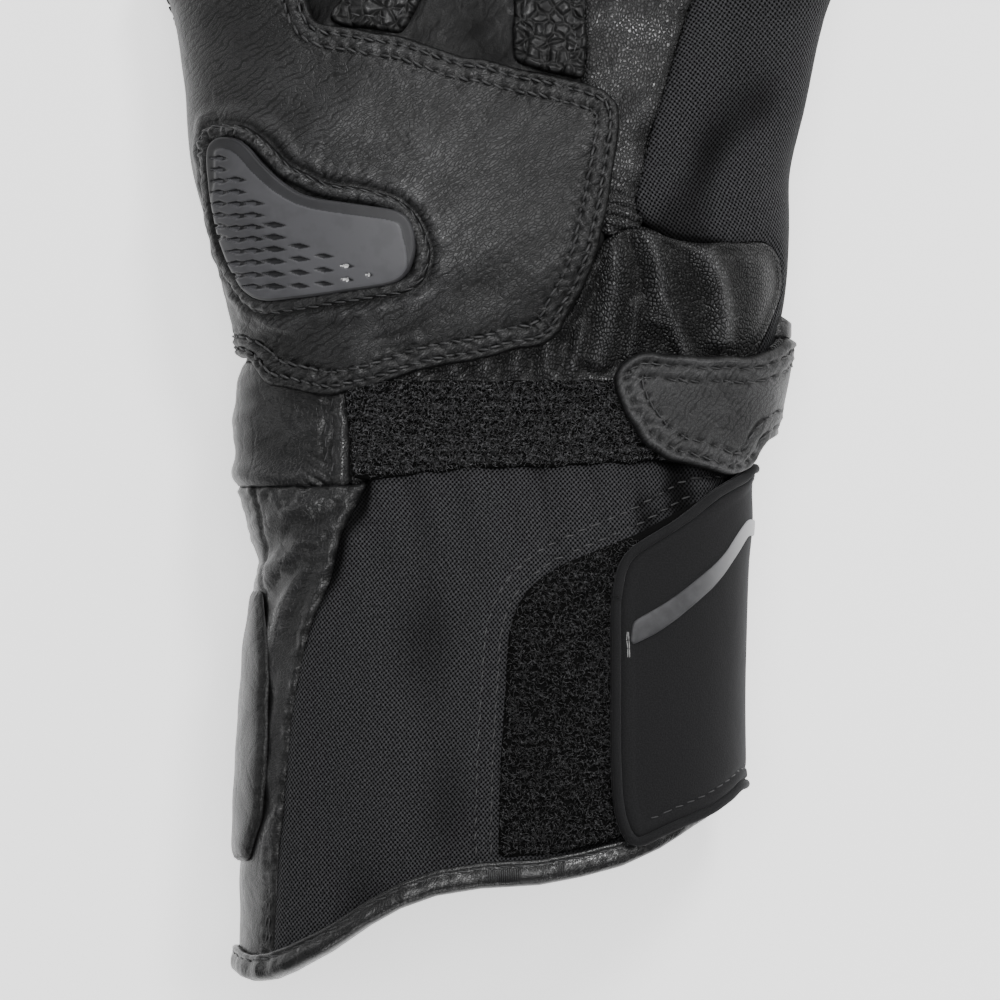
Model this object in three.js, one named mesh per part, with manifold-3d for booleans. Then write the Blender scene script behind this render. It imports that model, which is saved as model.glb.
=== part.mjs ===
// A right-hand winter motorcycle glove with a gauntlet cuff, lying on its back with the palm up.
// Millimetres. +Y points to the fingertips, +X to the thumb and +Z out of the palm. The origin is under the
// middle of the glove, on the surface that it lies on. The tables below are measured from a point near it,
// and the finished pieces are moved by MIDDLE.
// The shell is a hollow padded form, cut along its seams into panels. Patches, tapes, straps and the hard
// slider lie on it in layers, each a stretch of the same form grown by the layer's height.
import * as THREE from "three";
import { mergeVertices } from "three/addons/utils/BufferGeometryUtils.js";
import Module from "manifold-3d";

const wasm = await Module();
wasm.setup();

// Driving dimensions.
const WALL = 3; // leather or softshell with its padding
const GAP = 0.3; // between pieces
const PATCH = 1.6; // a leather patch sewn on
const TAPE = 1.2; // the loop tape
const SQUARE = 2.5; // squareness of the body's cross-sections, 2 for an ellipse
const OUTSIDE = { bodySides: 30, tubeSides: 12, step: 1 }; // how finely the form is divided
const INSIDE = { bodySides: 20, tubeSides: 8, step: 2 };
const SKY = 90; // above everything
const FAR = 110; // beyond every side
const CUFF_END = -162; // the form runs past the hem and is cut back to it
const CUFF_REST = 1.5; // the cuff's back is held off the surface by the binding's thickness
const HEM_BAND = 4.5; // how far the binding laps over the cuff
const WRIST_SEAM = -58.5; // where the back of the hand meets the cuff
const CLOTH_TOP = -54.5; // where the cuff's cloth ends under the wrist tape
const STRAP_THICK = 2; // the strap and the flap
const PIPING = 1.6; // the rolled edge of the flap
const MIDDLE = [2.1, 0.3, 0];

// Heights of the layers above the shell, bottom and top.
const LAYER = {
  patch: [GAP, GAP + PATCH],
  tape: [GAP, GAP + TAPE],
  strap: [2 * GAP + TAPE, 2 * GAP + TAPE + STRAP_THICK],
  piping: [2 * GAP + TAPE, 2 * GAP + TAPE + STRAP_THICK + 0.3],
  frame: [2 * GAP + PATCH, 2 * GAP + PATCH + 1.6],
  slider: [2 * GAP + PATCH, 2 * GAP + PATCH + 2.2],
  stripe: [3 * GAP + TAPE + STRAP_THICK, 3 * GAP + TAPE + STRAP_THICK + 0.5],
  binding: [GAP, GAP + 1.2],
};

// The lowest height that each piece reaches down the sides.
const LOW = {
  stall: -10, palm: 13, thenar: 13, gather: 24, wristSide: 10, cuffSide: 10, cuffFront: 27, heel: 11,
  grip: 20, frame: 12, slider: 13, wristTape: 18, strap: 8, cuffTape: 24, flap: 14, stripe: 20, sidePatch: 6,
};

// Cross-sections of cuff, wrist and hand. Cap rows close the hand between the fingers.
const BODY = table("y left right bottom top cap", [
  [CUFF_END, -65.0, 31.0, 0, 56, 0],
  [-121, -64.3, 31.2, 0, 57, 0],
  [-86, -62.0, 31.4, 0.5, 54, 0],
  [-75, -61.2, 31.8, 1, 52, 0],
  [-67, -63.4, 32.6, 2, 50, 0],
  [-57, -65.8, 33.0, 4.2, 46.8, 0],
  [-47.5, -65.9, 37.3, 5, 45, 0],
  [-32, -63.8, 40.8, 4, 45.5, 0],
  [-23.5, -65.7, 42.3, 2, 47, 0],
  [-15.5, -67.6, 43.0, 0, 48, 0],
  [0, -71.7, 42.2, -2, 47.5, 0],
  [12, -73.4, 44.3, -2, 46, 0],
  [24, -74.4, 46.2, -2, 43.5, 0],
  [35, -76.4, 47.4, -2, 41, 0],
  [43, -77.2, 47.2, -2, 38.5, 0],
  [51, -78.0, 43.5, -2, 35.5, 0],
  [58, -78.2, 37.0, -1, 32.5, 1],
  [63, -76.5, 31, 1, 30.5, 1],
  [67, -72, 26, 4, 27.5, 1],
]);

// Soft folds and dents of the palm side: centre, reach along and across, turn and rise.
const FOLDS = table("x y along across turn rise", [
  [-57, -70, 15, 8, 15, 1.4], // leather bunched over the side of the cuff
  [-55, -86, 14, 7, 65, 1.1],
  [-34, -67, 16, 8, 75, -1.3], // cloth drawn in below the tape
  [2, -66, 13, 8, 115, -1.0],
  [-58, -34, 12, 6, 160, -1.2], // fold where the heel turns into the wrist
  [-40, -33, 14, 6, 15, 0.9],
  [-46, 16, 24, 14, 35, 1.3], // padding of the heel
  [33, 12, 26, 13, 70, 1.5], // base of the thumb
  [14, 24, 16, 7, 70, -1.0],
]);

// Four fingers as straight tubes that curl up a little: base centre, lean to the thumb in degrees, length
// from the base seam to the tip, and the curl's rise.
const FINGERS = table("name x y lean length width depth rise", [
  ["index_finger", 18.6, 62, 3, 82, 28.4, 27, 7],
  ["middle_finger", -10.2, 63, 0.5, 92.5, 28.4, 27, 7],
  ["ring_finger", -38.6, 62, -1.5, 85, 27.6, 27, 7],
  ["little_finger", -65.2, 55, -3, 62, 25.4, 25, 6],
]);
const FINGER_Z = 14.5;
const FINGER_ROOT = 16; // how far a tube runs back into the hand
const ROOT_SHARE = 0.6; // the width of its hidden end against its base
const TIP_SHARE = 0.86; // a fingertip's width against its base

// The thumb's centreline and its sections.
const THUMB = table("x y z width depth", [
  [20, 2, 24, 32, 30],
  [28.2, 20, 24, 33, 31],
  [34.2, 38, 23, 32, 30],
  [42.5, 55, 22.5, 30, 29],
  [50.5, 71, 23.5, 29, 28],
  [57.3, 85, 26, 28, 27],
  [63.5, 97, 29, 26, 25],
]);

// Seams on the palm side, as they show from above.
const HEM = [
  [-FAR, -152.5], [-65, -154.2], [-62.3, -155.8], [-58.5, -155.3], [-54.5, -153.7], [-39, -144.5],
  [-26, -138.5], [-6, -136.6], [10, -133], [25.5, -124.4], [34, -119], [FAR, -117.5],
];
const CUFF_SIDE_SEAM = [
  [-39.5, -58.5], [-45, -69], [-47, -77.5], [-50.5, -86], [-52.5, -94.5], [-54, -103.5], [-55, -112.5],
  [-57, -130.5], [-58, -170],
];
const THENAR_SEAM = [
  [30, 56], [25.5, 39], [23.5, 34], [20, 22.5], [16.5, 11.5], [14.5, 3], [13, -3], [13, -5.5], [14.5, -8.5],
];
const GATHER_TOP = [
  [-43, -35], [-20, -31], [0, -27], [5, -15], [7, -11.5], [10.5, -9.5], [14.5, -9],
];
const GATHER_RIGHT = [
  [19.5, -11.5], [25.5, -12.5], [38.2, -11.6], [40, -12.9], [41.2, -15.2], [41.6, -21], [40.1, -26.1],
  [37, -33], [35.8, -40], [31.3, CLOTH_TOP],
];
const THENAR_LEFT = [[2, 57], [2, 20], [5, -8], [7, -11]];

// Outlines of what lies on the palm side, as they show from above.
const HEEL_PATCH = [
  [-FAR, 47], [-52.5, 47], [-52, 37], [-50, 31], [-46.5, 30], [-33, 28], [-10.5, 22], [2.5, 19], [7, 17.5],
  [9.5, 15], [10, 11.5], [6.5, -10], [4, -18.5], [-1.5, -29], [-4.5, -32], [-10, -33], [-29.3, -37],
  [-41.1, -40.9], [-46.8, -42], [-52.4, -41.5], [-59.8, -39.6], [-64, -34.6], [-FAR, -32.5],
];
const GRIP_PATCH = [
  [-44.6, 35.5], [-46, 48], [-47, 53], [-40, 55], [-6, 56], [0, 54.5], [2.6, 50], [3.2, 19.3], [-11, 22.6],
  [-11, 39], [-13.5, 43], [-18, 44.5], [-23, 43.5], [-28, 37], [-32.7, 28.5], [-46.3, 30.6], [-47.6, 31.6],
];
const SLIDER_FRAME = [
  [-73.2, 7], [-72.3, 10], [-70.6, 11.1], [-64.7, 10.7], [-62.6, 10], [-59, 6.7], [-54.8, 2.9],
  [-49.9, 0.2], [-38.7, -2.2], [-32.4, -4.6], [-28.5, -9.8], [-27.3, -13.3], [-27.3, -15.8], [-29.6, -20.7],
  [-32.4, -21.8], [-56.9, -25.3], [-60.5, -25.4], [-62.9, -24.6], [-67.5, -19.4], [-71.3, -9], [-72.5, -2],
];
const SLIDER = [
  [-71.4, 6.9], [-69.9, 8.4], [-67.5, 8.6], [-64.7, 7.7], [-60.5, 3.2], [-56.9, 0], [-53.4, -2.4],
  [-49.9, -3.5], [-35.9, -5.6], [-33.1, -6.3], [-30.3, -10.5], [-30.1, -14], [-31.3, -17.6], [-35.9, -20.2],
  [-59, -23], [-62.2, -22.4], [-64.7, -20.4], [-69.3, -10.3], [-71.5, 3.5],
];
const LOOP_BAND = [
  [FAR, -38], [-2, -39], [-33, -39], [-44, -38.5], [-44, -42], [-43, -50.5], [-42.5, -58.5], [-39, -58.5],
  [-19.5, -56.5], [-2, -56], [13.5, -55], [FAR, -52],
];
const STRAP = [
  [FAR, -29.5], [43.6, -30.2], [40.2, -33.1], [37.7, -33.9], [30.7, -34.2], [15.8, -33.3], [11.4, -34.3],
  [9.7, -36], [8.8, -39], [9.6, -42.3], [14, -51], [15.8, -52.7], [18.5, -54], [30.7, -57.5], [33, -57.1],
  [35.7, -54.8], [38.2, -49.6], [40.2, -48.4], [40.8, -45], [FAR, -43],
];
const CUFF_LOOP = [
  [FAR, -62.5], [25.5, -62.5], [13.5, -69], [6, -72], [-2.5, -75.5], [-8, -79.5], [-10.5, -83.5],
  [-12, -88.5], [-13.5, -112.5], [-14, -132], [-2, -131], [10, -128], [25.5, -119.5], [FAR, -112],
];
const FLAP = [
  [FAR, -53.5], [36.6, -54.2], [34.6, -57.2], [27.9, -61.5], [20.5, -67.1], [12.5, -71.8], [10.2, -74],
  [9.1, -77], [8.2, -82.5], [8.2, -111.7], [9.2, -124.2], [10.5, -127.7], [12.5, -130], [14.4, -129.7],
  [27.9, -123.7], [33.8, -119], [FAR, -117.5],
];
const STRIPE = [
  [12.2, -86.4], [17.9, -83.5], [22.9, -80.7], [28.9, -74.5], [34.8, -66.8], [FAR, -65.5], [FAR, -69],
  [34.4, -69.8], [29.9, -78], [24.4, -84], [16.5, -88.9], [11.7, -91.4],
];
const SIDE_PATCH = [
  [-FAR, -79], [-61.6, -80], [-61, -86], [-60, -92], [-60, -112], [-61, -124], [-64, -133], [-FAR, -134],
];

// Gathers of the elastic wrist panel: ridges across the wrist, tallest just above the tape.
const GATHER = { pitch: 7.4, height: 1.5, from: -60, tall: -27, to: -9, columns: 40, rows: 4 };

// Diamond recesses of the slider, one row for each column of them.
const DIAMONDS = table("x top count step long wide", [
  [-69.0, 4.5, 8, 2.1, 2.6, 1.0],
  [-65.7, 0.4, 9, 2.27, 3.4, 1.0],
  [-62.3, -4.1, 8, 2.27, 4.5, 1.1],
  [-57.7, -8.4, 6, 2.32, 5.6, 1.4],
  [-52.8, -12.6, 4, 2.45, 5.0, 1.2],
  [-48.0, -14.6, 3, 2.5, 4.4, 1.05],
  [-43.4, -16.5, 2, 2.4, 3.0, 0.9],
  [-39.2, -18.1, 1, 2.4, 1.7, 0.8],
]);
const DIAMOND_LEAN = -0.09; // how far a recess sinks towards its right end, for each millimetre
const DIAMOND_DEPTH = 0.7;

// The keeper's loop: where it stands, and its section outward and up from there.
const KEEPER = { x: 41.1, y: -25.7, z: 22, wide: 3.6, thick: 1 };
const KEEPER_LOOP = [[0, 0], [1.5, 0.6], [2.2, 2.2], [2.2, 4.2], [1.5, 5.8], [0, 6.4]];

// Colours and finishes.
const leather = finish(0x232425, 0.55);
const softLeather = finish(0x1f2021, 0.5);
const coarseLeather = finish(0x262728, 0.6);
const softshell = finish(0x1c1d1f, 0.85);
const wovenCloth = finish(0x1b1c1d, 0.8);
const loopPile = finish(0x0f0f10, 1);
const hardPlastic = finish(0x3a3b3d, 0.38);
const greyFilm = finish(0x6c6e70, 0.3);

function table(columns, rows) {
  const names = columns.split(" ");
  return rows.map((row) => Object.fromEntries(names.map((name, i) => [name, row[i]])));
}

function finish(color, roughness) {
  return new THREE.MeshStandardMaterial({ color, roughness, metalness: 0 });
}

// A closed solid from a geometry, its shared vertices merged.
function solid(geometry) {
  const bare = geometry.clone();
  for (const name of Object.keys(bare.attributes)) if (name !== "position") bare.deleteAttribute(name);
  const merged = mergeVertices(bare, 1e-4);
  return new wasm.Manifold(
    new wasm.Mesh({
      numProp: 3,
      vertProperties: merged.attributes.position.array,
      triVerts: new Uint32Array(merged.index.array),
    }),
  );
}

// A closed solid through rings of equal count, with a fan on each end.
function loft(rings) {
  const sides = rings[0].length;
  const middle = (ring) =>
    ring.reduce((sum, p) => sum.add(p), new THREE.Vector3()).divideScalar(sides);
  const points = [...rings.flat(), middle(rings[0]), middle(rings.at(-1))];
  const index = [];
  for (let r = 0; r < rings.length - 1; r++)
    for (let i = 0; i < sides; i++) {
      const a = r * sides + i;
      const b = r * sides + ((i + 1) % sides);
      index.push(a, b, b + sides, a, b + sides, a + sides);
    }
  const first = rings.length * sides;
  const last = (rings.length - 1) * sides;
  for (let i = 0; i < sides; i++) {
    const j = (i + 1) % sides;
    index.push(first, j, i, first + 1, last + i, last + j);
  }
  const made = solid(new THREE.BufferGeometry().setFromPoints(points).setIndex(index));
  if (made.volume() < 0) throw new Error("a loft is inside out");
  return made;
}

// A prism standing on an outline drawn in X and Y, between two heights.
function prism(outline, low = -SKY, high = SKY) {
  const shape = new THREE.Shape(outline.map(([x, y]) => new THREE.Vector2(x, y)));
  const geometry = new THREE.ExtrudeGeometry(shape, { depth: high - low, bevelEnabled: false });
  return solid(geometry.translate(0, 0, low));
}

// The outline with each corner moved out by a distance, or in where it is negative.
function grown(outline, distance) {
  const turn = Math.sign(THREE.ShapeUtils.area(outline.map(([x, y]) => new THREE.Vector2(x, y))));
  return outline.map(([x, y], i) => {
    const [ax, ay] = outline.at(i - 1);
    const [bx, by] = outline[(i + 1) % outline.length];
    const before = new THREE.Vector2(x - ax, y - ay).normalize();
    const after = new THREE.Vector2(bx - x, by - y).normalize();
    const out = new THREE.Vector2(before.y + after.y, -before.x - after.x).multiplyScalar(turn);
    const stretch = distance / Math.max(0.6, out.length() / 2);
    out.setLength(stretch);
    return [x + out.x, y + out.y];
  });
}

// How far the folds raise the surface over a point of the palm side.
function foldRise(x, y) {
  return FOLDS.reduce((sum, fold) => {
    const turn = THREE.MathUtils.degToRad(fold.turn);
    const along = (x - fold.x) * Math.cos(turn) + (y - fold.y) * Math.sin(turn);
    const across = (y - fold.y) * Math.cos(turn) - (x - fold.x) * Math.sin(turn);
    return sum + fold.rise * Math.exp(-((along / fold.along) ** 2) - (across / fold.across) ** 2);
  }, 0);
}

// One cross-section of the body, grown by a distance.
function bodyRing(row, grow, sides, ripple = () => 0) {
  const middleX = (row.left + row.right) / 2;
  const middleZ = (row.bottom + row.top) / 2;
  const halfWide = (row.right - row.left) / 2;
  const halfDeep = (row.top - row.bottom) / 2;
  const power = (value) => Math.sign(value) * Math.abs(value) ** (2 / SQUARE);
  return Array.from({ length: sides }, (_, i) => {
    const angle = (2 * Math.PI * i) / sides;
    const [across, up] = [power(Math.cos(angle)), power(Math.sin(angle))];
    const x = middleX + halfWide * across;
    const raised = foldRise(x, row.y) * Math.max(0, up);
    return new THREE.Vector3(
      middleX + (halfWide + grow) * across,
      row.y + (row.cap ? grow : 0),
      middleZ + (halfDeep + grow) * up + raised + ripple(x, row.y),
    );
  }).reverse();
}

function body(grow, { bodySides, step } = OUTSIDE) {
  const rows = BODY.filter((row, i) => i % step === 0);
  return loft(rows.map((row) => bodyRing(row, grow, bodySides)));
}

// A tube through sections that stand square to its centreline in plan, closed by a round tip.
function tube(rows, grow, { tubeSides } = OUTSIDE) {
  const at = (row) => new THREE.Vector3(row.x, row.y, row.z);
  const rings = [];
  const ring = (centre, ahead, wide, deep) => {
    const side = new THREE.Vector3(ahead.y, -ahead.x, 0).normalize();
    rings.push(
      Array.from({ length: tubeSides }, (_, i) => {
        const angle = (2 * Math.PI * (i + 0.5)) / tubeSides;
        return centre
          .clone()
          .addScaledVector(side, wide * Math.cos(angle))
          .add(new THREE.Vector3(0, 0, deep * Math.sin(angle)));
      }).reverse(),
    );
  };
  rows.forEach((row, i) => {
    const ahead = at(rows[Math.min(i + 1, rows.length - 1)]).sub(at(rows[Math.max(i - 1, 0)]));
    ring(at(row), ahead, row.width / 2 + grow, row.depth / 2 + grow);
  });
  const end = rows.at(-1);
  const ahead = at(end).sub(at(rows.at(-2))).normalize();
  for (const turn of [0.4, 0.8].map((share) => (share * Math.PI) / 2)) {
    const shrink = Math.cos(turn);
    const reach = (end.width / 2 + grow) * Math.sin(turn) * 0.9;
    const centre = at(end).addScaledVector(ahead, reach);
    ring(centre, ahead, (end.width / 2 + grow) * shrink, (end.depth / 2 + grow) * shrink);
  }
  return loft(rings);
}

function fingerRows(finger) {
  const lean = THREE.MathUtils.degToRad(finger.lean);
  const straight = finger.length - (finger.width * TIP_SHARE * 0.9) / 2;
  return [-FINGER_ROOT / straight, 0, 0.4, 0.75, 1].map((share) => {
    const along = share * straight;
    const narrow = share < 0 ? ROOT_SHARE : THREE.MathUtils.lerp(1, TIP_SHARE, share ** 2);
    return {
      x: finger.x + along * Math.sin(lean),
      y: finger.y + along * Math.cos(lean),
      z: FINGER_Z + finger.rise * Math.max(0, share) ** 2,
      width: finger.width * narrow,
      depth: finger.depth * narrow,
    };
  });
}

// The whole hand form, grown by a distance, and cut flat where it lies on the surface.
function form(grow, floor, detail = OUTSIDE) {
  const tubes = [...FINGERS.map(fingerRows), THUMB].map((rows) => tube(rows, grow, detail));
  const whole = tubes.reduce((sum, t) => sum.add(t), body(grow, detail));
  return whole.intersect(prism(square(-200, 200), floor, SKY));
}

function square(low, high) {
  return [[low, low], [high, low], [high, high], [low, high]];
}

const hemLine = (shift) => HEM.map(([x, y]) => [x, y + shift]);
const aboveHem = (shift) => prism([...hemLine(shift), [FAR, 200], [-FAR, 200]]);
const belowHem = (shift) => prism([...hemLine(shift), [FAR, -200], [-FAR, -200]].reverse());
const aboveBinding = aboveHem(HEM_BAND + GAP);
const aboveWrist = prism([[-FAR, WRIST_SEAM], [FAR, WRIST_SEAM], [FAR, 200], [-FAR, 200]]);

// The hollow shell, open at the cuff.
function makeShell() {
  const outer = form(0, 0);
  const cuffRoom = prism([[-FAR, -200], [FAR, -200], [FAR, -70], [-FAR, -70]], -10, CUFF_REST);
  const hollow = form(-WALL, WALL, INSIDE);
  return outer.subtract(cuffRoom).subtract(hollow).intersect(aboveHem(1));
}

// Where each panel of the shell lies: its outline from above, and how far down the side it reaches.
function panels() {
  const tip = 170;
  const hand = [-FAR, 52];
  const [littleRing, ringMiddle, middleIndex, indexEnd] = [[-52.5, 57], [-24.7, 62.5], [4.1, 63], [33, 60]];
  const [aboveLittle, aboveRing, aboveMiddle, aboveIndex] = [-55.5, -25.5, 7.3, 44].map((x) => [x, tip]);
  const web = [36, 72];
  const palmEnd = [...GATHER_TOP.slice(0, 4).reverse(), [-FAR, -35]];
  const thenarEnd = GATHER_TOP.slice(-2).reverse();
  const thenarLeft = [...THENAR_LEFT].reverse();
  const clothTop = [-39.5, CLOTH_TOP];
  return [
    ["little_finger", [hand, littleRing, aboveLittle, [-FAR, tip]], LOW.stall],
    ["ring_finger", [littleRing, ringMiddle, aboveRing, aboveLittle], LOW.stall],
    ["middle_finger", [ringMiddle, middleIndex, aboveMiddle, aboveRing], LOW.stall],
    ["index_finger", [middleIndex, indexEnd, web, aboveIndex, aboveMiddle], LOW.stall],
    ["thumb", [indexEnd, [52, 28], [FAR, 28], [FAR, tip], aboveIndex, web], LOW.stall],
    ["palm", [...THENAR_LEFT, ...palmEnd, hand, littleRing, ringMiddle], LOW.palm],
    ["thenar_panel", [...THENAR_SEAM, ...thenarEnd, ...thenarLeft, [4.1, 62.5], [29, 60]], LOW.thenar],
    ["wrist_gather", [...GATHER_TOP, ...GATHER_RIGHT, clothTop, CUFF_SIDE_SEAM[0], [-43, -59.5]], LOW.palm],
    ["wrist_side", [[-FAR, -35], [-43, -35], [-43, -59.5], [-FAR, -60]], LOW.wristSide],
    ["cuff_side", [[-FAR, -60], [-43, -59.5], ...CUFF_SIDE_SEAM, [-FAR, -170]], LOW.cuffSide],
    ["cuff_front", [clothTop, ...CUFF_SIDE_SEAM, [FAR, -170], [FAR, WRIST_SEAM], [31.3, WRIST_SEAM],
      GATHER_RIGHT.at(-1)], LOW.cuffFront],
  ];
}

// The gathered wrist panel: the form's own surface with ridges pressed up out of it.
function gatheredWrist(outline) {
  const { pitch, height, from, tall, to, columns, rows } = GATHER;
  const rise = (x, y) => {
    const share = y < tall ? (y - from) / (tall - from) : (to - y) / (to - tall);
    const ease = Math.max(0, Math.min(1, share)) ** 0.8;
    const spread = 1 + (y - tall) * 0.006;
    return height * ease * (Math.cos((2 * Math.PI * (x - 12) * spread) / pitch) - 0.4);
  };
  const sectionAt = (y) => {
    const after = BODY.findIndex((row) => row.y >= y);
    const [a, b] = [BODY[after - 1], BODY[after]];
    const share = (y - a.y) / (b.y - a.y);
    const between = (key) => THREE.MathUtils.lerp(a[key], b[key], share);
    return { y, left: between("left"), right: between("right"), bottom: 0, top: between("top"), cap: 0 };
  };
  const levels = Array.from({ length: rows + 1 }, (_, i) => from + ((to - from + 2) * i) / rows);
  const outer = loft(levels.map((y) => bodyRing(sectionAt(y), -0.2, 2 * columns, rise)));
  const inner = form(-WALL, WALL, INSIDE);
  const held = [HEEL_PATCH, LOOP_BAND, STRAP].map((over) => layer([0, 6], grown(over, GAP), 20));
  return outer
    .subtract(wasm.Manifold.union([inner, ...held]))
    .intersect(prism(grown(outline, -GAP / 2), LOW.gather, SKY));
}

// A layer over the body: between two heights above it, inside an outline and above a height.
function layer([bottom, top], outline, low) {
  return body(top).subtract(body(bottom)).intersect(prism(outline, low, SKY));
}

// The slider's plate with its diamond recesses.
function makeSlider() {
  const [bottom, top] = LAYER.slider;
  const plate = layer([bottom, top], SLIDER, LOW.slider);
  const outside = body(top + 3).subtract(body(top - DIAMOND_DEPTH));
  const holes = DIAMONDS.flatMap(({ x, top: y, count, step, long, wide }) =>
    Array.from({ length: count }, (_, i) => {
      const middle = y - i * step;
      const lean = (DIAMOND_LEAN * long) / 2;
      return prism([[x - long / 2, middle - lean], [x, middle - wide / 2], [x + long / 2, middle + lean],
        [x, middle + wide / 2]], 0, SKY);
    }),
  );
  return plate.subtract(outside.intersect(wasm.Manifold.union(holes)));
}

// The leather binding folded over the cuff's edge, inside and out.
function makeBinding() {
  const [bottom, top] = LAYER.binding;
  const flat = (grow, floor, detail) =>
    body(grow, detail).intersect(prism(square(-200, 200), floor, SKY));
  const band = flat(top, 0).subtract(flat(-WALL - top, WALL + top, INSIDE));
  const cuff = flat(bottom, CUFF_REST - bottom).subtract(flat(-WALL - bottom, WALL + bottom, INSIDE));
  return band
    .intersect(aboveHem(-0.5))
    .intersect(belowHem(HEM_BAND))
    .subtract(cuff.intersect(aboveHem(1 - bottom)));
}

// A folded leather keeper that stands on the side of the wrist, just above the strap.
function makeKeeper() {
  const { x, y, z, wide, thick } = KEEPER;
  const last = KEEPER_LOOP.length - 1;
  const inside = KEEPER_LOOP.map(([out, up], i) => [out - (i && i < last ? thick : 0), up * 0.6 + thick]);
  const section = [...KEEPER_LOOP, ...inside.reverse()].map(([out, up]) => new THREE.Vector2(out, up));
  const geometry = new THREE.ExtrudeGeometry(new THREE.Shape(section), { depth: wide, bevelEnabled: false });
  return solid(geometry.rotateX(Math.PI / 2).translate(x, y, z)).subtract(body(GAP));
}

const glove = new THREE.Group();

function add(name, made, material) {
  const { numProp, vertProperties, triVerts } = made.getMesh();
  const geometry = new THREE.BufferGeometry();
  const position = new Float32Array((vertProperties.length / numProp) * 3);
  for (let i = 0; i < position.length / 3; i++)
    position.set(vertProperties.subarray(i * numProp, i * numProp + 3), i * 3);
  geometry.setAttribute("position", new THREE.BufferAttribute(position, 3));
  geometry.setIndex(new THREE.BufferAttribute(triVerts, 1));
  geometry.computeVertexNormals();
  geometry.translate(...MIDDLE);
  const mesh = new THREE.Mesh(geometry, material);
  mesh.name = name;
  glove.add(mesh);
}

// The largest of the bodies that a cut leaves.
function main(made) {
  return made.decompose().sort((a, b) => b.volume() - a.volume())[0];
}

const shell = makeShell();
const shellFinish = { thenar_panel: softLeather, wrist_gather: softLeather, cuff_front: wovenCloth };
let back = shell;
for (const [name, outline, low] of panels()) {
  const piece =
    name === "wrist_gather"
      ? gatheredWrist(outline)
      : shell.intersect(prism(grown(outline, -GAP / 2), low, SKY));
  add(name, main(piece), shellFinish[name] ?? leather);
  back = back.subtract(prism(grown(outline, GAP / 2), low - GAP, SKY));
}
add("hand_back", main(back.intersect(aboveWrist)), softshell);
add("cuff_back", main(back.subtract(aboveWrist.translate(0, -GAP, 0))), softshell);

add("heel_patch", main(layer(LAYER.patch, HEEL_PATCH, LOW.heel)), leather);
add("grip_patch", main(layer(LAYER.patch, grown(GRIP_PATCH, -GAP), LOW.grip)), coarseLeather);
add("slider_frame", main(layer(LAYER.frame, SLIDER_FRAME, LOW.frame)
  .subtract(prism(grown(SLIDER, GAP)))), leather);
add("palm_slider", main(makeSlider()), hardPlastic);
add("wrist_loop_tape", main(layer(LAYER.tape, LOOP_BAND, LOW.wristTape)
  .subtract(prism(grown(HEEL_PATCH, GAP)))), loopPile);
add("wrist_strap", main(layer(LAYER.strap, STRAP, LOW.strap)), leather);
add("strap_keeper", main(makeKeeper()), leather);
add("cuff_loop_tape", main(layer(LAYER.tape, CUFF_LOOP, LOW.cuffTape).intersect(aboveBinding)), loopPile);
add("cuff_flap", main(layer(LAYER.strap, grown(FLAP, -PIPING), LOW.flap)), softshell);
add("flap_piping", main(layer(LAYER.piping, FLAP, LOW.flap)
  .subtract(prism(grown(FLAP, GAP - PIPING)))), softshell);
add("reflective_stripe", main(layer(LAYER.stripe, STRIPE, LOW.stripe)), greyFilm);
add("cuff_side_patch", main(layer(LAYER.patch, SIDE_PATCH, LOW.sidePatch).intersect(aboveBinding)), leather);
add("hem_binding", main(makeBinding()), softLeather);

export default glove;
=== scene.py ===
"""A right-hand winter motorcycle glove lying on its back, palm up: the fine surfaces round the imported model.

The glove's outside is one smooth form, unrolled into a chart: s runs round it from the middle of the palm
side and y along it. Each panel, patch, tape and strap is an outline in that chart, filled with triangles and
lifted back onto the form at its own height, with its seams, puckers and folds. Lengths are millimetres until
a mesh is made.
"""

import math

import bpy
import numpy as np
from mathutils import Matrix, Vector
from mathutils.geometry import delaunay_2d_cdt


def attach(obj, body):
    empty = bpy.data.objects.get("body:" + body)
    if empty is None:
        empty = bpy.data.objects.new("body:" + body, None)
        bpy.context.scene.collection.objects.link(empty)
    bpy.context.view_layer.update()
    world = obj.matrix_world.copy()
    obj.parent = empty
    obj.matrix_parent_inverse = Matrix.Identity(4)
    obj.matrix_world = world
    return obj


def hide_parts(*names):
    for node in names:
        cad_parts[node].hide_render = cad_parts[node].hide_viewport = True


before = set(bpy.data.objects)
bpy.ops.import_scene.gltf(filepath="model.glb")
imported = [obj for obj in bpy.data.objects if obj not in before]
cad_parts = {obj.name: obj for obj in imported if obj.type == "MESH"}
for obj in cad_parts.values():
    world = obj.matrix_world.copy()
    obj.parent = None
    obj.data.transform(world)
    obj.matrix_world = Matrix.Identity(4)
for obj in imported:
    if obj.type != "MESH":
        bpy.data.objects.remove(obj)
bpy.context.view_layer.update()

MM = 0.001
# The chart is kept on the meshes as a UV map whose unit is 100 mm.
CHART_UNIT = 0.01
# From the drawing's middle to the frame's.
MIDDLE = np.array([2.1, 0.3, 0])
# Thickness of the shell.
WALL = 2.7
# A place across that lies past both sides of the glove.
FAR = 110.0
# Height of the cuff's underside, and how square the sections are: 2 is an ellipse.
CUFF_REST = 1.5
SQUARE = 2.5
STALL_SQUARE = 2.2
# How far the binding reaches over the cuff from the hem.
HEM_BAND = 4.5
# Places along the glove: end of the cuff, top of its cloth, seam of the back, upper end of the panels.
CUFF_END = -162.0
CLOTH_TOP = -54.5
WRIST_Y = -58.5
PALM_TOP = 69.0
# From stitch to stitch, the finest mesh of the leather, and the step along an outline.
STITCH = 2.8
FINE = 0.62
DRAWN = 0.7
CHARTED = 0.8
# The form's rows are this far apart.
FORM_STEP = 0.8
# The waver of a hand-cut edge.
WAVER_LENGTH = 6.5
WAVER_SEED = 17
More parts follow.
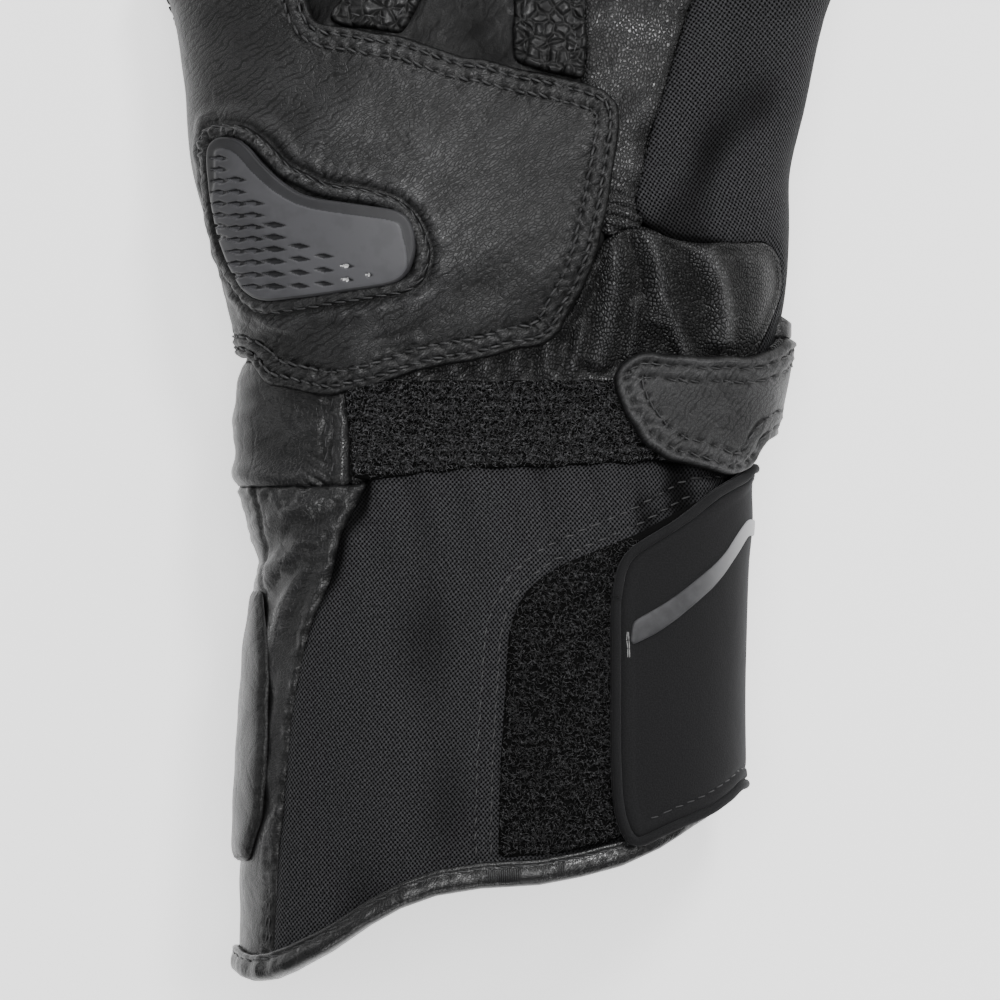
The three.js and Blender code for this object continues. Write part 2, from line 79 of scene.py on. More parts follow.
# A mesh's rows lie this share of the pitch apart, and keep this share away from its edge rows.
ROW_SHARE = 0.87
ROW_GAP = 0.55
# How many pairs of point and leg one pass over an outline may take.
PAIRS = 1500000

# Heights of the layers above the shell, bottom and top. They overlap a little, so nothing hangs in the air.
LAYER = {
    "patch": (0.2, 1.9),
    "tape": (0.2, 1.1),
    "strap": (1.7, 3.7),
    "frame": (1.7, 3.2),
    "slider": (2.0, 4.2),
    "stripe": (3.1, 3.95),
}

# Cross-sections of cuff, wrist and hand: y left right bottom top.
BODY = [
    (CUFF_END, -65.0, 31.0, 0, 56),
    (-121, -64.3, 31.2, 0, 57),
    (-86, -62.0, 31.4, 0.5, 54),
    (-75, -61.2, 31.8, 1, 52),
    (-67, -63.4, 32.6, 2, 50),
    (-57, -65.8, 33.0, 4.2, 46.8),
    (-47.5, -65.9, 37.3, 5, 45),
    (-40, -65.3, 38.9, 4.5, 45),
    (-32, -63.8, 40.8, 4, 45.5),
    (-23.5, -65.7, 42.3, 2, 47),
    (-15.5, -67.6, 43.0, 0, 48),
    (0, -71.7, 42.2, -2, 47.5),
    (12, -73.4, 44.3, -2, 46),
    (24, -74.4, 46.2, -2, 43.5),
    (35, -76.4, 47.4, -2, 41),
    (43, -77.2, 47.2, -2, 38.5),
    (51, -78.0, 43.5, -2, 35.5),
    (58, -78.2, 37.0, -1, 32.5),
    (63, -76.5, 31, 1, 30.5),
    (67, -72, 26, 4, 27.5),
    (70.4, -61, 15, 15, 16),
]
BODY_END = 70.4

# Soft folds of the palm side: x y along across turn rise.
FOLDS = [
    (-57, -70, 15, 8, 15, 1.4),
    (-55, -86, 14, 7, 65, 1.1),
    (-34, -67, 16, 8, 75, -1.3),
    (2, -66, 13, 8, 115, -1.0),
    (-58, -34, 12, 6, 160, -1.2),
    (-40, -33, 14, 6, 15, 0.9),
    (-46, 16, 24, 14, 35, 1.3),
    (33, 12, 26, 13, 70, 1.5),
    (14, 24, 16, 7, 70, -1.0),
]

# Fingers: name x y lean length width depth rise.
FINGERS = [
    ("index_finger", 18.6, 62, 3, 82, 28.4, 27, 7),
    ("middle_finger", -10.2, 63, 0.5, 92.5, 28.4, 27, 7),
    ("ring_finger", -38.6, 62, -1.5, 85, 27.6, 27, 7),
    ("little_finger", -65.2, 55, -3, 62, 25.4, 25, 6),
]
# Height of a finger's middle at its root, how far the root is hidden, how much the finger narrows to its
# tip, and the length of the rounded tip as a share of the width.
FINGER_Z = 14.5
FINGER_ROOT = 10.0
TIP_SHARE = 0.86
TIP_ROUND = 0.45
# The thumb's centreline: x y z width depth.
THUMB = [
    (20, 2, 24, 32, 30),
    (28.2, 20, 24, 33, 31),
    (34.2, 38, 23, 32, 30),
    (42.5, 55, 22.5, 30, 29),
    (50.5, 71, 23.5, 29, 28),
    (57.3, 85, 26, 28, 27),
    (63.5, 97, 29, 26, 25),
]
# Where the thumb leaves the hand's cloth, and how the cloth lies over its root.
THUMB_LEAVES = (37.0, 44.0)
THUMB_COVER = 0.9
THUMB_BLEND = 3.0
# No stall changes the form below this place, and the shell thins out over this length at the form's end.
STALLS_FROM = -30.0
THIN_OUT = 8.0

# Seams and outlines as they show from above.
HEM = [
    (-FAR, -152.5), (-65, -154.2), (-63.4, -155.3), (-61.6, -155.8), (-58.5, -155.3), (-54.5, -153.7),
    (-47, -149.8), (-39, -144.5), (-33, -141.2), (-26, -138.7), (-17.5, -137.3), (-6, -136.6), (2, -135.1),
    (10, -133), (17.5, -129.6), (25.5, -124.4), (34, -119), (FAR, -117.5),
]
CUFF_SIDE_SEAM = [
    (-39.5, -58.5), (-45, -69), (-47, -77.5), (-50.5, -86), (-52.5, -94.5), (-54, -103.5), (-55, -112.5),
    (-57, -130.5), (-58, -170),
]
THENAR_SEAM = [
    (30, 61), (25.5, 39), (23.5, 34), (20, 22.5), (16.5, 11.5), (14.5, 3), (13, -3), (13, -5.5), (14.5, -8.5),
]
GATHER_TOP = [
    (-43, -35), (-20, -31), (0, -27), (5, -15), (7, -11.5), (10.5, -9.5), (14.5, -9),
]
GATHER_RIGHT = [
    (19.5, -11.5), (25.5, -12.5), (33, -12), (38.2, -11.6), (40, -12.9), (41.2, -15.2), (41.7, -18.3),
    (41.6, -21), (41, -23.8), (40.1, -26.1), (38.7, -29.5), (37, -33), (35.8, -40), (31.3, CLOTH_TOP),
]
THENAR_LEFT = [(2, 64), (2, 20), (5, -8), (7, -11)]
HEEL_PATCH = [
    (-FAR, 47), (-52.5, 47), (-52, 37), (-50, 31), (-46.5, 30), (-33, 28), (-24.5, 25), (-10.5, 22),
    (2.5, 19), (7, 17.5), (9.5, 15), (10, 11.5), (8.5, 2), (6.5, -10), (4, -18.5), (0, -25.5), (-1.5, -29),
    (-4.5, -32), (-10, -33), (-19.5, -35.2), (-29.3, -37), (-33.7, -38.7), (-41.1, -40.9), (-46.8, -42),
    (-52.4, -41.5), (-59.8, -39.6), (-62.5, -36.8), (-64, -34.6), (-FAR, -32.5),
]
GRIP_PATCH = [
    (-44.6, 35.5), (-46, 48), (-45, 53), (-40, 55), (-6, 56), (0, 54.5), (2.6, 50), (3.0, 35), (3.3, 19.2),
    (-4, 20.9), (-10.9, 22.5), (-10.9, 39), (-13.5, 43), (-18, 44.5), (-23, 43.5), (-28, 37), (-32.9, 28.4),
    (-39, 29.4), (-46.5, 30.5), (-47.4, 31.6),
]
SLIDER_FRAME = [
    (-73.2, 7), (-72.3, 10), (-70.6, 11.1), (-67.5, 11.2), (-64.7, 10.7), (-62.6, 10), (-60.8, 8.6),
    (-59, 6.7), (-54.8, 2.9), (-49.9, 0.2), (-46.4, -0.8), (-38.7, -2.2), (-35.2, -3.2), (-32.4, -4.6),
    (-30.3, -6.7), (-28.5, -9.8), (-27.3, -13.3), (-27.3, -15.8), (-28.2, -19), (-29.6, -20.7),
    (-32.4, -21.8), (-42.9, -23.5), (-56.9, -25.3), (-60.5, -25.4), (-62.9, -24.6), (-65.4, -22.3),
    (-67.5, -19.4), (-69.6, -15), (-71.3, -9), (-72.5, -2),
]
SLIDER = [
    (-71.4, 6.9), (-69.9, 8.4), (-67.5, 8.6), (-64.7, 7.7), (-62.9, 6), (-60.5, 3.2), (-56.9, 0),
    (-53.4, -2.4), (-49.9, -3.5), (-35.9, -5.6), (-33.1, -6.3), (-31.3, -7.7), (-30.3, -10.5), (-30.1, -14),
    (-31.3, -17.6), (-33.1, -19.3), (-35.9, -20.2), (-49.9, -22.1), (-59, -23), (-62.2, -22.4),
    (-64.7, -20.4), (-67.3, -15.8), (-69.3, -10.3), (-70.7, -3.5), (-71.5, 3.5),
]
LOOP_BAND = [
    (FAR, -38), (-2, -39), (-33, -39), (-44, -38.5), (-44, -42), (-43, -50.5), (-42.5, -58.5), (-39, -58.5),
    (-19.5, -56.5), (-2, -56), (13.5, -55), (FAR, -52),
]
STRAP = [
    (FAR, -29.5), (43.6, -30.2), (42.4, -31.6), (40.2, -33.1), (37.7, -33.9), (34.5, -34.2), (30.7, -34.2),
    (25.3, -34.0), (20, -33.9), (15.8, -33.3), (13.6, -33.5), (11.4, -34.3), (9.7, -36), (8.8, -39),
    (9.6, -42.3), (10.8, -45.2), (12.3, -48.3), (14, -51), (15.8, -52.7), (18.5, -54), (23.2, -55.5),
    (27, -56.7), (30.7, -57.5), (33, -57.1), (35.7, -54.8), (36.9, -52), (38.2, -49.6), (39.2, -49.2),
    (40.3, -48.2), (40.8, -45), (FAR, -43),
]
CUFF_LOOP = [
    (FAR, -62.5), (25.5, -62.5), (13.5, -69), (6, -72), (-2.5, -75.5), (-8, -79.5), (-10.5, -83.5),
    (-12, -88.5), (-13.5, -112.5), (-14, -132), (-2, -131), (10, -128), (25.5, -119.5), (FAR, -112),
]
FLAP = [
    (FAR, -53.5), (36.6, -54.2), (35.6, -55.9), (34.6, -57.2), (32.4, -58.6), (27.9, -61.5), (25, -64),
    (20.5, -67.1), (16.4, -69.5), (12.5, -71.8), (10.2, -74), (9.1, -77), (8.2, -82.5), (8.2, -111.7),
    (8.5, -119.3), (9.2, -124.2), (10.5, -127.7), (12.5, -130), (14.4, -129.7), (17.9, -127.9),
    (21.8, -126.2), (27.9, -123.7), (32.4, -120.7), (33.8, -119), (FAR, -117.5),
]
STRIPE = [
    (12.2, -86.4), (15.2, -84.8), (18.8, -82.8), (22.5, -80.2), (26.1, -77.3), (28.7, -75.1), (30.9, -72.6),
    (32.3, -70.4), (33.8, -68.2), (35.4, -66.2), (FAR, -65), (FAR, -68), (35.2, -69.1), (33.4, -72.2),
    (32, -74.4), (30.1, -77.3), (27.9, -79.9), (24.3, -83.1), (20.7, -86), (17, -88.6), (11.7, -91.2),
]
SIDE_PATCH = [
    (-FAR, -79), (-61.6, -80), (-61, -86), (-60, -92), (-60, -112), (-61, -124), (-64, -133), (-FAR, -134),
]

# Diamond recesses of the slider: x top count step long wide.
DIAMONDS = [
    (-68.6, 4.5, 8, 2.1, 4.2, 1.3),
    (-65.2, 0.4, 9, 2.27, 5.0, 1.3),
    (-61.9, -4.1, 8, 2.27, 5.6, 1.3),
    (-57.7, -8.4, 6, 2.32, 5.6, 1.4),
    (-52.8, -12.6, 4, 2.45, 5.0, 1.2),
    (-48.0, -14.6, 3, 2.5, 4.4, 1.05),
    (-43.4, -16.5, 2, 2.4, 3.0, 0.9),
    (-39.2, -18.1, 1, 2.4, 1.7, 0.8),
]
DIAMOND_LEAN = -0.09
# How many of the last rows have facets with painted glints, and how many of the first ones facets with painted
# highlights.
GLINT_ROWS = 2
LIT_ROWS = 3
# How many waves ripples add up, and what brings their sum to about unit height.
RIPPLE_WAVES = 14
RIPPLE_SUM = 3.2


def smooth_rows(rows, at):
    """The columns after the first, read off smoothly at the given places of the first."""
    rows = np.array(rows, float)
    place, value = rows[:, 0], rows[:, 1:]
    slope = np.empty_like(value)
    slope[1:-1] = (value[2:] - value[:-2]) / (place[2:] - place[:-2])[:, None]
    slope[0] = (value[1] - value[0]) / (place[1] - place[0])
    slope[-1] = (value[-1] - value[-2]) / (place[-1] - place[-2])
    i = np.clip(np.searchsorted(place, at) - 1, 0, len(place) - 2)
    wide = (place[i + 1] - place[i])[:, None]
    t = ((at - place[i])[:, None] / wide).clip(0, 1)
    return (
        (2 * t**3 - 3 * t**2 + 1) * value[i]
        + (t**3 - 2 * t**2 + t) * wide * slope[i]
        + (3 * t**2 - 2 * t**3) * value[i + 1]
        + (t**3 - t**2) * wide * slope[i + 1]
    )


def turned(x, y, turn):
    """Offsets read in a frame that is turned by an angle in degrees."""
    c, s = math.cos(math.radians(turn)), math.sin(math.radians(turn))
    return x * c + y * s, y * c - x * s


def rounded(value, square):
    """A sine or cosine, drawn out for a section between an ellipse and a square."""
    return np.sign(value) * np.abs(value) ** (2 / square)


def fold_rise(x, y):
    """How far the soft folds raise the palm side over a point."""
    total = 0
    for cx, cy, along, across, turn, rise in FOLDS:
        u, v = turned(x - cx, y - cy, turn)
        total = total + rise * np.exp(-((u / along) ** 2) - (v / across) ** 2)
    return total


def ripples(x, y, length, seed, turn=0.0, stretch=1.0):
    """Smooth irregular waves of about unit height, drawn out along a direction in degrees."""
    draw = np.random.default_rng(seed)
    u, v = turned(x, y, turn)
    headings = draw.uniform(0, 2 * math.pi, RIPPLE_WAVES)
    sizes = draw.uniform(0.7, 1.6, RIPPLE_WAVES)
    phases = draw.uniform(0, 2 * math.pi, RIPPLE_WAVES)
    total = np.zeros_like(x, dtype=float)
    for heading, size, phase in zip(headings, sizes, phases):
        k = 2 * math.pi / (length * size)
        total += np.sin(k * (u / stretch * math.cos(heading) + v * math.sin(heading)) + phase)
    return total / RIPPLE_SUM


def bump(value, reach):
    """A smooth hump round zero."""
    return np.exp(-((value / reach) ** 2))


def step_up(value, low, high):
    """From 0 to 1 between two values."""
    t = np.clip((value - low) / (high - low), 0, 1)
    return t * t * (3 - 2 * t)


def finger_line(finger):
    """Centres, widths and depths down a finger, from its hidden root to the start of its tip."""
    name, x, y, lean, length, width, depth, rise = finger
    lean = math.radians(lean)
    straight = length - width * TIP_SHARE * TIP_ROUND
    rows = []
    for share in (-FINGER_ROOT / straight, 0, 0.2, 0.4, 0.6, 0.8, 1):
        up = max(0, share) ** 2
        narrow = 1 + (TIP_SHARE - 1) * up
        rows.append((x + share * straight * math.sin(lean), y + share * straight * math.cos(lean),
                     FINGER_Z + rise * up, width * narrow, depth * narrow))
    return rows


TUBES = {f[0]: finger_line(f) for f in FINGERS} | {"thumb": THUMB}
FINGER_NAMES = tuple(f[0] for f in FINGERS)

def tube_distance(points, skip=()):
    """How far points stand outside the nearest stall."""
    best = np.full(len(points), 1e9)
    for name, rows in TUBES.items():
        if name in skip:
            continue
        rows = np.array(rows, float)
        for a, b in zip(rows[:-1], rows[1:]):
            leg = b[:3] - a[:3]
            t = np.clip(((points - a[:3]) @ leg) / (leg @ leg), 0, 1)
            away = np.linalg.norm(points - a[:3] - t[:, None] * leg, axis=1)
            radius = (a[3] + a[4]) / 4 + t * ((b[3] + b[4]) - (a[3] + a[4])) / 4
            best = np.minimum(best, away - radius)
    return best


def fillet(distance, reach=7.0):
    """The rise that softens the crease where two surfaces meet."""
    return reach / 4 * np.clip(1 - np.abs(distance) / reach, 0, 1) ** 2


class Form:
    """The outside of cuff, wrist and hand, and the chart that unrolls it."""

    STEPS = 600

    def __init__(self):
        self.ys = np.arange(CUFF_END, BODY_END + 0.01, FORM_STEP)
        self.step = self.ys[1] - self.ys[0]
        left, right, bottom, top = smooth_rows(BODY, self.ys).T[:, :, None]
        turn = np.linspace(-math.pi, math.pi, 2 * self.STEPS + 1)[None]
        across, up = rounded(np.sin(turn), SQUARE), rounded(np.cos(turn), SQUARE)
        x = (left + right) / 2 + (right - left) / 2 * across
        y = self.ys[:, None]
        z = (bottom + top) / 2 + (top - bottom) / 2 * up + fold_rise(x, y) * np.maximum(0, up)
        z = np.maximum(z, CUFF_REST * step_up(-y, 66, 80))
        n = self.STEPS
        self.lengths = {}
        grid = np.zeros((len(self.ys), 2 * n + 1, 2))
        even = np.linspace(0, 1, n + 1)
        for side, order in (("right", slice(n, None)), ("left", slice(n, None, -1))):
            xs, zs = x[:, order], z[:, order]
            gone = np.cumsum(np.hypot(np.diff(xs), np.diff(zs)), axis=1)
            gone = np.hstack([np.zeros((len(gone), 1)), gone])
            self.lengths[side] = gone[:, -1]
            for i, row in enumerate(gone):
                for axis, values in enumerate((xs, zs)):
                    grid[i, order, axis] = np.interp(even, row / row[-1], values[i])
        du = np.gradient(grid, axis=1)
        dy = np.gradient(grid, self.ys, axis=0)
        round_it = np.stack([du[..., 0], np.zeros_like(du[..., 0]), du[..., 1]], -1)
        along = np.stack([dy[..., 0], np.ones_like(dy[..., 0]), dy[..., 1]], -1)
        normal = np.cross(round_it, along)
        normal /= np.linalg.norm(normal, axis=-1, keepdims=True)
        self.grid = np.concatenate([grid, normal], -1)

    def half(self, side, y):
        """How far the chart reaches from the palm's middle to the middle of the back, on one side."""
        return np.interp(y, self.ys, self.lengths[side])

    def read(self, s, y):
        """Point and normal of the form at places of the chart."""
        y = np.clip(y, self.ys[0], self.ys[-1] - 1e-6)
        right, left = self.half("right", y), self.half("left", y)
        s = np.where(s > right + left, s - right - left, s)
        u = np.where(s >= 0, s / right, s / left)
        u = np.where(u > 1, -1 + (s - right) / left, u)
        u = np.where(u < -1, 1 + (s + left) / right, u)
        i = (y - self.ys[0]) / self.step
        k = (u + 1) * self.STEPS
        i0 = np.clip(i.astype(int), 0, len(self.ys) - 2)
        k0 = np.clip(k.astype(int), 0, 2 * self.STEPS - 1)
        p, q = (i - i0)[:, None], (k - k0)[:, None]
        g = self.grid
        got = ((1 - p) * (1 - q) * g[i0, k0] + (1 - p) * q * g[i0, k0 + 1]
               + p * (1 - q) * g[i0 + 1, k0] + p * q * g[i0 + 1, k0 + 1])
        point = np.stack([got[:, 0], y, got[:, 1]], -1)
        normal = got[:, 2:] / np.linalg.norm(got[:, 2:], axis=1, keepdims=True)
        return point, normal

    def lift(self, s, y, h):
        """Points at a height above the form, led over the thumb's root, softened where the stalls leave."""
        point, normal = self.read(s, y)
        h = np.broadcast_to(np.asarray(h, float), s.shape).copy()
        h = np.where(h < 0, h * np.clip((BODY_END - y) / THIN_OUT, 0.02, 1), h)
        near = y > STALLS_FROM
        if near.any():
            at = point[near]
            thumb = tube_distance(at, FINGER_NAMES)
            covered = 1 - step_up(at[:, 1], *THUMB_LEAVES)
            inside = THUMB_COVER - thumb
            over = 0.5 * (inside + np.sqrt(inside**2 + THUMB_BLEND**2)) * step_up(inside, -16, -5)
            soft = np.maximum(fillet(tube_distance(at, ("thumb",))), (1 - covered) * fillet(thumb))
            h[near] += covered * over + soft * (h[near] > -1)
        lifted = point + normal * h[:, None]
        lifted[:, 2] = np.maximum(lifted[:, 2], 0)
        return lifted

    def row(self, y, lift=0.0):
        """The section at a place along the glove, at a height above the form."""
        i = (np.clip(y, self.ys[0], self.ys[-1] - 1e-6) - self.ys[0]) / self.step
        i0 = int(i)
        g = (1 - i + i0) * self.grid[i0] + (i - i0) * self.grid[i0 + 1]
        return g[:, 0] + lift * g[:, 2], g[:, 1] + lift * g[:, 4]

    def s_above(self, x, y, lift=0.0):
        """Where a point seen from above lies in the chart, or else the name of the side that it is past."""
        xs, zs = self.row(y, lift)
        low, high = int(np.argmin(xs)), int(np.argmax(xs))
        if x > xs[high] - 0.1:
            return "right"
        if x < xs[low] + 0.1:
            return "left"
        u = np.interp(x, xs[low : high + 1], np.arange(low, high + 1)) / self.STEPS - 1
        return u * float(self.half("right" if u > 0 else "left", y))

    def s_at_height(self, side, y, z, lift=0.0):
        """Where the side comes down to a height."""
        xs, zs = self.row(y, lift)
        n = self.STEPS
        down = zs[n:] if side == "right" else zs[n::-1]
        u = np.interp(-z, -down, np.linspace(0, 1, n + 1))
        return (1 if side == "right" else -1) * u * float(self.half(side, y))


FORM = Form()


def gone_along(points):
    """How far along an open line each of its points lies."""
    legs = np.linalg.norm(np.diff(points, axis=0), axis=1)
    return np.concatenate([[0], np.cumsum(legs)])


def spaced(points, pitch, closed=True):
    """The same line with even steps."""
    points = np.array(points, float)
    if closed:
        points = np.vstack([points, points[:1]])
    moves = np.linalg.norm(np.diff(points, axis=0), axis=1) > 1e-6
    points = points[np.concatenate([[True], moves])]
    gone = gone_along(points)
    count = max(8, int(round(gone[-1] / pitch)))
    at = np.linspace(0, gone[-1], count + 1)
    out = np.stack([np.interp(at, gone, column) for column in points.T], -1)
    return out[:-1] if closed else out


def eased(ring, times, closed=True):
    """The line with its corners softened."""
    for _ in range(times):
        if closed:
            ring = 0.5 * ring + 0.25 * (np.roll(ring, 1, 0) + np.roll(ring, -1, 0))
        else:
            ring[1:-1] = 0.5 * ring[1:-1] + 0.25 * (ring[:-2] + ring[2:])
    return ring


def area(ring):
    """The area of an outline, positive where it runs anticlockwise."""
    x, y = ring[:, 0], ring[:, 1]
    return 0.5 * np.sum(x * np.roll(y, -1) - np.roll(x, -1) * y)


def anticlockwise(ring):
    """The same outline, run round anticlockwise."""
    return ring if area(ring) > 0 else ring[::-1].copy()


def inward(ring):
    """The direction to the inside at each point of an anticlockwise outline."""
    ahead = np.roll(ring, -1, 0) - np.roll(ring, 1, 0)
    ahead /= np.linalg.norm(ahead, axis=1, keepdims=True) + 1e-12
    return np.stack([-ahead[:, 1], ahead[:, 0]], -1)


def hem_at(x):
    """Where the hem lies along the glove, at a place across it."""
    return np.interp(x, *np.array(HEM).T)


def above_hem(chart, shift):
    """Moves what would pass the hem back onto it."""
    s, y = chart[:, 0], chart[:, 1].copy()
    for _ in range(6):
        x = FORM.read(s, y)[0][:, 0]
        y = np.maximum(chart[:, 1], hem_at(x) + shift)
    return np.stack([s, y], -1)


def chart_of(outline, low, ease=2, grow=0.0, hem=1.0, lift=0.0, waver=0.0):
    """A closed outline drawn from above, in the chart. Past a side it runs down to a height.

    Its edge may waver a little, as a hand-cut and sewn edge does.
    """
    points = spaced(outline, DRAWN)
    if grow or waver:
        out = grow + waver * ripples(points[:, 0], points[:, 1], WAVER_LENGTH, WAVER_SEED)[:, None]
        points = points - np.sign(area(points)) * out * inward(points)
    marks = [FORM.s_above(x, y, lift) for x, y in points]
    start = int(np.abs(points[:, 0]).argmin())
    points = np.roll(points, -start, 0)
    marks = marks[start:] + marks[:start]
    for side in ("left", "right"):
        past = [i for i, mark in enumerate(marks) if mark == side]
        for i in range(past[0], past[-1]) if past else ():
            marks[i] = side
    chart, i = [], 0
    while i < len(marks):
        if not isinstance(marks[i], str):
            chart.append((marks[i], points[i, 1]))
            i += 1
            continue
        side, first = marks[i], i
        while i < len(marks) and marks[i] == side:
            i += 1
        y0, y1 = points[first, 1], points[i - 1, 1]
        for y in np.linspace(y0, y1, max(2, int(abs(y1 - y0)))):
            chart.append((FORM.s_at_height(side, y, low, lift), y))
    ring = above_hem(spaced(chart, CHARTED), hem)
    return anticlockwise(eased(spaced(ring, CHARTED), ease))


def edge_distance(points, ring):
    """Distance to a closed outline, positive inside, and how far round it the nearest place is."""
    a, b = ring, np.roll(ring, -1, 0)
    leg = b - a
    long2 = (leg**2).sum(1) + 1e-12
    gone = np.concatenate([[0], np.cumsum(np.sqrt(long2))])[:-1]
    away, round_it = np.empty(len(points)), np.empty(len(points))
    for part in np.array_split(np.arange(len(points)), max(1, len(points) * len(ring) // PAIRS)):
        p = points[part]
        rel = p[:, None] - a[None]
        t = np.clip((rel * leg).sum(-1) / long2, 0, 1)
        off = ((rel - t[..., None] * leg) ** 2).sum(-1)
        k = off.argmin(1)
        row = np.arange(len(part))
        crosses = (a[:, 1] > p[:, 1:]) != (b[:, 1] > p[:, 1:])
        rise = np.where(np.abs(leg[:, 1]) < 1e-12, 1e-12, leg[:, 1])
        left_of = p[:, :1] < leg[:, 0] * (p[:, 1:] - a[:, 1]) / rise + a[:, 0]
        inside = (crosses & left_of).sum(1) % 2 == 1
        away[part] = np.sqrt(off[row, k]) * np.where(inside, 1, -1)
        round_it[part] = gone[k] + t[row, k] * np.sqrt(long2[k])
    return away, round_it


def fill(ring, pitch, rows):
    """Points and triangles over a chart outline, with rows of points at given distances inside it."""
    ring = spaced(ring, pitch)
    parts = [ring]
    for row in rows:
        points = ring + inward(ring) * row
        parts.append(points[edge_distance(points, ring)[0] > row - 0.06])
    lo, hi = ring.min(0), ring.max(0)
    for i, y in enumerate(np.arange(lo[1], hi[1], pitch * ROW_SHARE)):
        xs = np.arange(lo[0] + (i % 2) * pitch / 2, hi[0], pitch)
        line = np.column_stack([xs, np.full(len(xs), y)])
        parts.append(line[edge_distance(line, ring)[0] > rows[-1] + ROW_GAP * pitch])
    got = delaunay_2d_cdt([Vector(p) for p in np.vstack(parts)], [], [list(range(len(ring)))], 1, 1e-7)
    points = np.array([tuple(p) for p in got[0]])
    triangles = np.array([f for f in got[2] if len(f) == 3])
    made = points[triangles]
    turn = np.cross(made[:, 1] - made[:, 0], made[:, 2] - made[:, 0])
    triangles = triangles[np.abs(turn) > 1e-9]
    turn = turn[np.abs(turn) > 1e-9]
    triangles[turn < 0] = triangles[turn < 0][:, ::-1]
    return points, triangles


class Place:
    """What a relief may ask about points of a piece: chart, place from above, distance from the edge."""

    def __init__(self, points, ring, lift=0.0):
        self.s, self.y = points[:, 0], points[:, 1]
        base, normal = FORM.read(self.s, self.y)
        self.x, self.z = (base + lift * normal)[:, [0, 2]].T
        self.d, self.along = edge_distance(points, ring)

    def waves(self, length, seed, turn=0.0, stretch=1.0):
        """Ripples over the points as they lie seen from above."""
        return ripples(self.x, self.y, length, seed, turn, stretch)

    def about(self, x, y, turn):
        """The points in a frame turned about a spot."""
        return turned(self.x - x, self.y - y, turn)

    def scallop(self, shift=0.0):
        """A wave with one crest for each stitch."""
        return np.cos(2 * math.pi * self.along / STITCH + shift)


def placed(name, data):
    """A new object of the scene."""
    made = bpy.data.objects.new(name, data)
    bpy.context.scene.collection.objects.link(made)
    return made


def piece(name, points, faces, materials, nodes=(), uv=None, index=None):
    """A piece of the glove with its chart and materials, in place of the nodes that it dresses."""
    mesh = bpy.data.meshes.new(name)
    mesh.from_pydata((np.asarray(points, float) + MIDDLE) * MM, [], [list(f) for f in faces])
    mesh.update()
    mesh.shade_smooth()
    if uv is not None:
        layer = mesh.uv_layers.new(name="chart")
        corner = np.empty(len(mesh.loops), np.int32)
        mesh.loops.foreach_get("vertex_index", corner)
        layer.data.foreach_set("uv", (np.asarray(uv, float)[corner] * CHART_UNIT).ravel())
    for material in materials:
        mesh.materials.append(MATERIAL[material])
    if index is not None:
        mesh.polygons.foreach_set("material_index", index.astype(np.int32))
    made = placed(name, mesh)
    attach(made, "root")
    if nodes:
        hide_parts(*nodes)
    return made


def sheet(name, key, layer, pitch, rows, materials, node, parts=None):
    """A closed piece over a chart outline between two heights, its top shaped by a relief.

    The last material is the inside's, and parts picks the others for places on the top.
    """
    ring = RING[key]
    points, triangles = fill(ring, pitch, rows)
    bottom, top = layer
    place = Place(points, ring, top)
    high = top + RELIEF[key](place)
    outer = FORM.lift(place.s, place.y, np.maximum(high, bottom + 0.05))
    inner = FORM.lift(place.s, place.y, bottom)
    n, count = len(points), len(triangles)
    legs = np.vstack([triangles[:, [0, 1]], triangles[:, [1, 2]], triangles[:, [2, 0]]])
    keys = legs[:, 0].astype(np.int64) * n + legs[:, 1]
    a, b = legs[~np.isin(legs[:, 1].astype(np.int64) * n + legs[:, 0], keys)].T
    wall = np.vstack([np.stack([a, a + n, b + n], -1), np.stack([a, b + n, b], -1)])
    index = np.repeat([0, len(materials) - 1, 0], [count, count, len(wall)])
    if parts:
        index[:count] = parts(Place(points[triangles].mean(1), ring, top))
    made = piece(name, np.vstack([outer, inner]), np.vstack([triangles, triangles[:, ::-1] + n, wall]),
                 materials, (node,), np.vstack([points, points]), index)
    # The relief's height, which the materials read to paint shade in low places and highlights on raised ones.
    rise = made.data.attributes.new("rise", "FLOAT", "POINT")
    rise.data.foreach_set("value", np.concatenate([high - top, np.zeros(n)]).astype(np.float32))
    return made


def rolled(place, thick, reach):
    """The drop towards a turned edge, like a quarter round."""
    t = np.clip(place.d / reach, 0, 1)
    return -thick * (1 - np.sqrt(np.clip(1 - (1 - t) ** 2, 0, 1)))


def sewn(place, at, deep=0.45, wide=0.55, pucker=0.5):
    """The groove that a row of stitches pulls at a distance from the edge."""
    pull = 1 - pucker + pucker * place.scallop()
    return -deep * pull * bump(place.d - at, wide)


def seam(place, deep=0.9, wide=1.0):
    """The sunk edge of a panel that is sewn to its neighbour."""
    return -deep * bump(place.d, wide)


def offset_line(ring, distance):
    """The closed line a distance inside an outline (outside where it is negative)."""
    line = ring + inward(ring) * distance
    away = edge_distance(line, ring)[0]
    keep = away > distance - 0.15 if distance > 0 else away < distance + 0.15
    return eased(line[keep], 2)


def world_line(s, y, high):
    """Points and normals of a line in the chart at given heights."""
    return np.hstack([FORM.lift(s, y, high), FORM.read(s, y)[1]])


def unit(vectors):
    """The vectors at length one."""
    return vectors / (np.linalg.norm(vectors, axis=-1, keepdims=True) + 1e-12)


def ring_axes(ahead, normal, sides):
    """Unit vectors ahead, aside and up along a line, and the circle of directions round it."""
    ahead = unit(ahead)
    side = unit(np.cross(ahead, normal))
    up = np.cross(side, ahead)
    turn = 2 * math.pi * np.arange(sides)[:, None] / sides
    return ahead, side, up, side[..., None, :] * np.cos(turn) + up[..., None, :] * np.sin(turn)


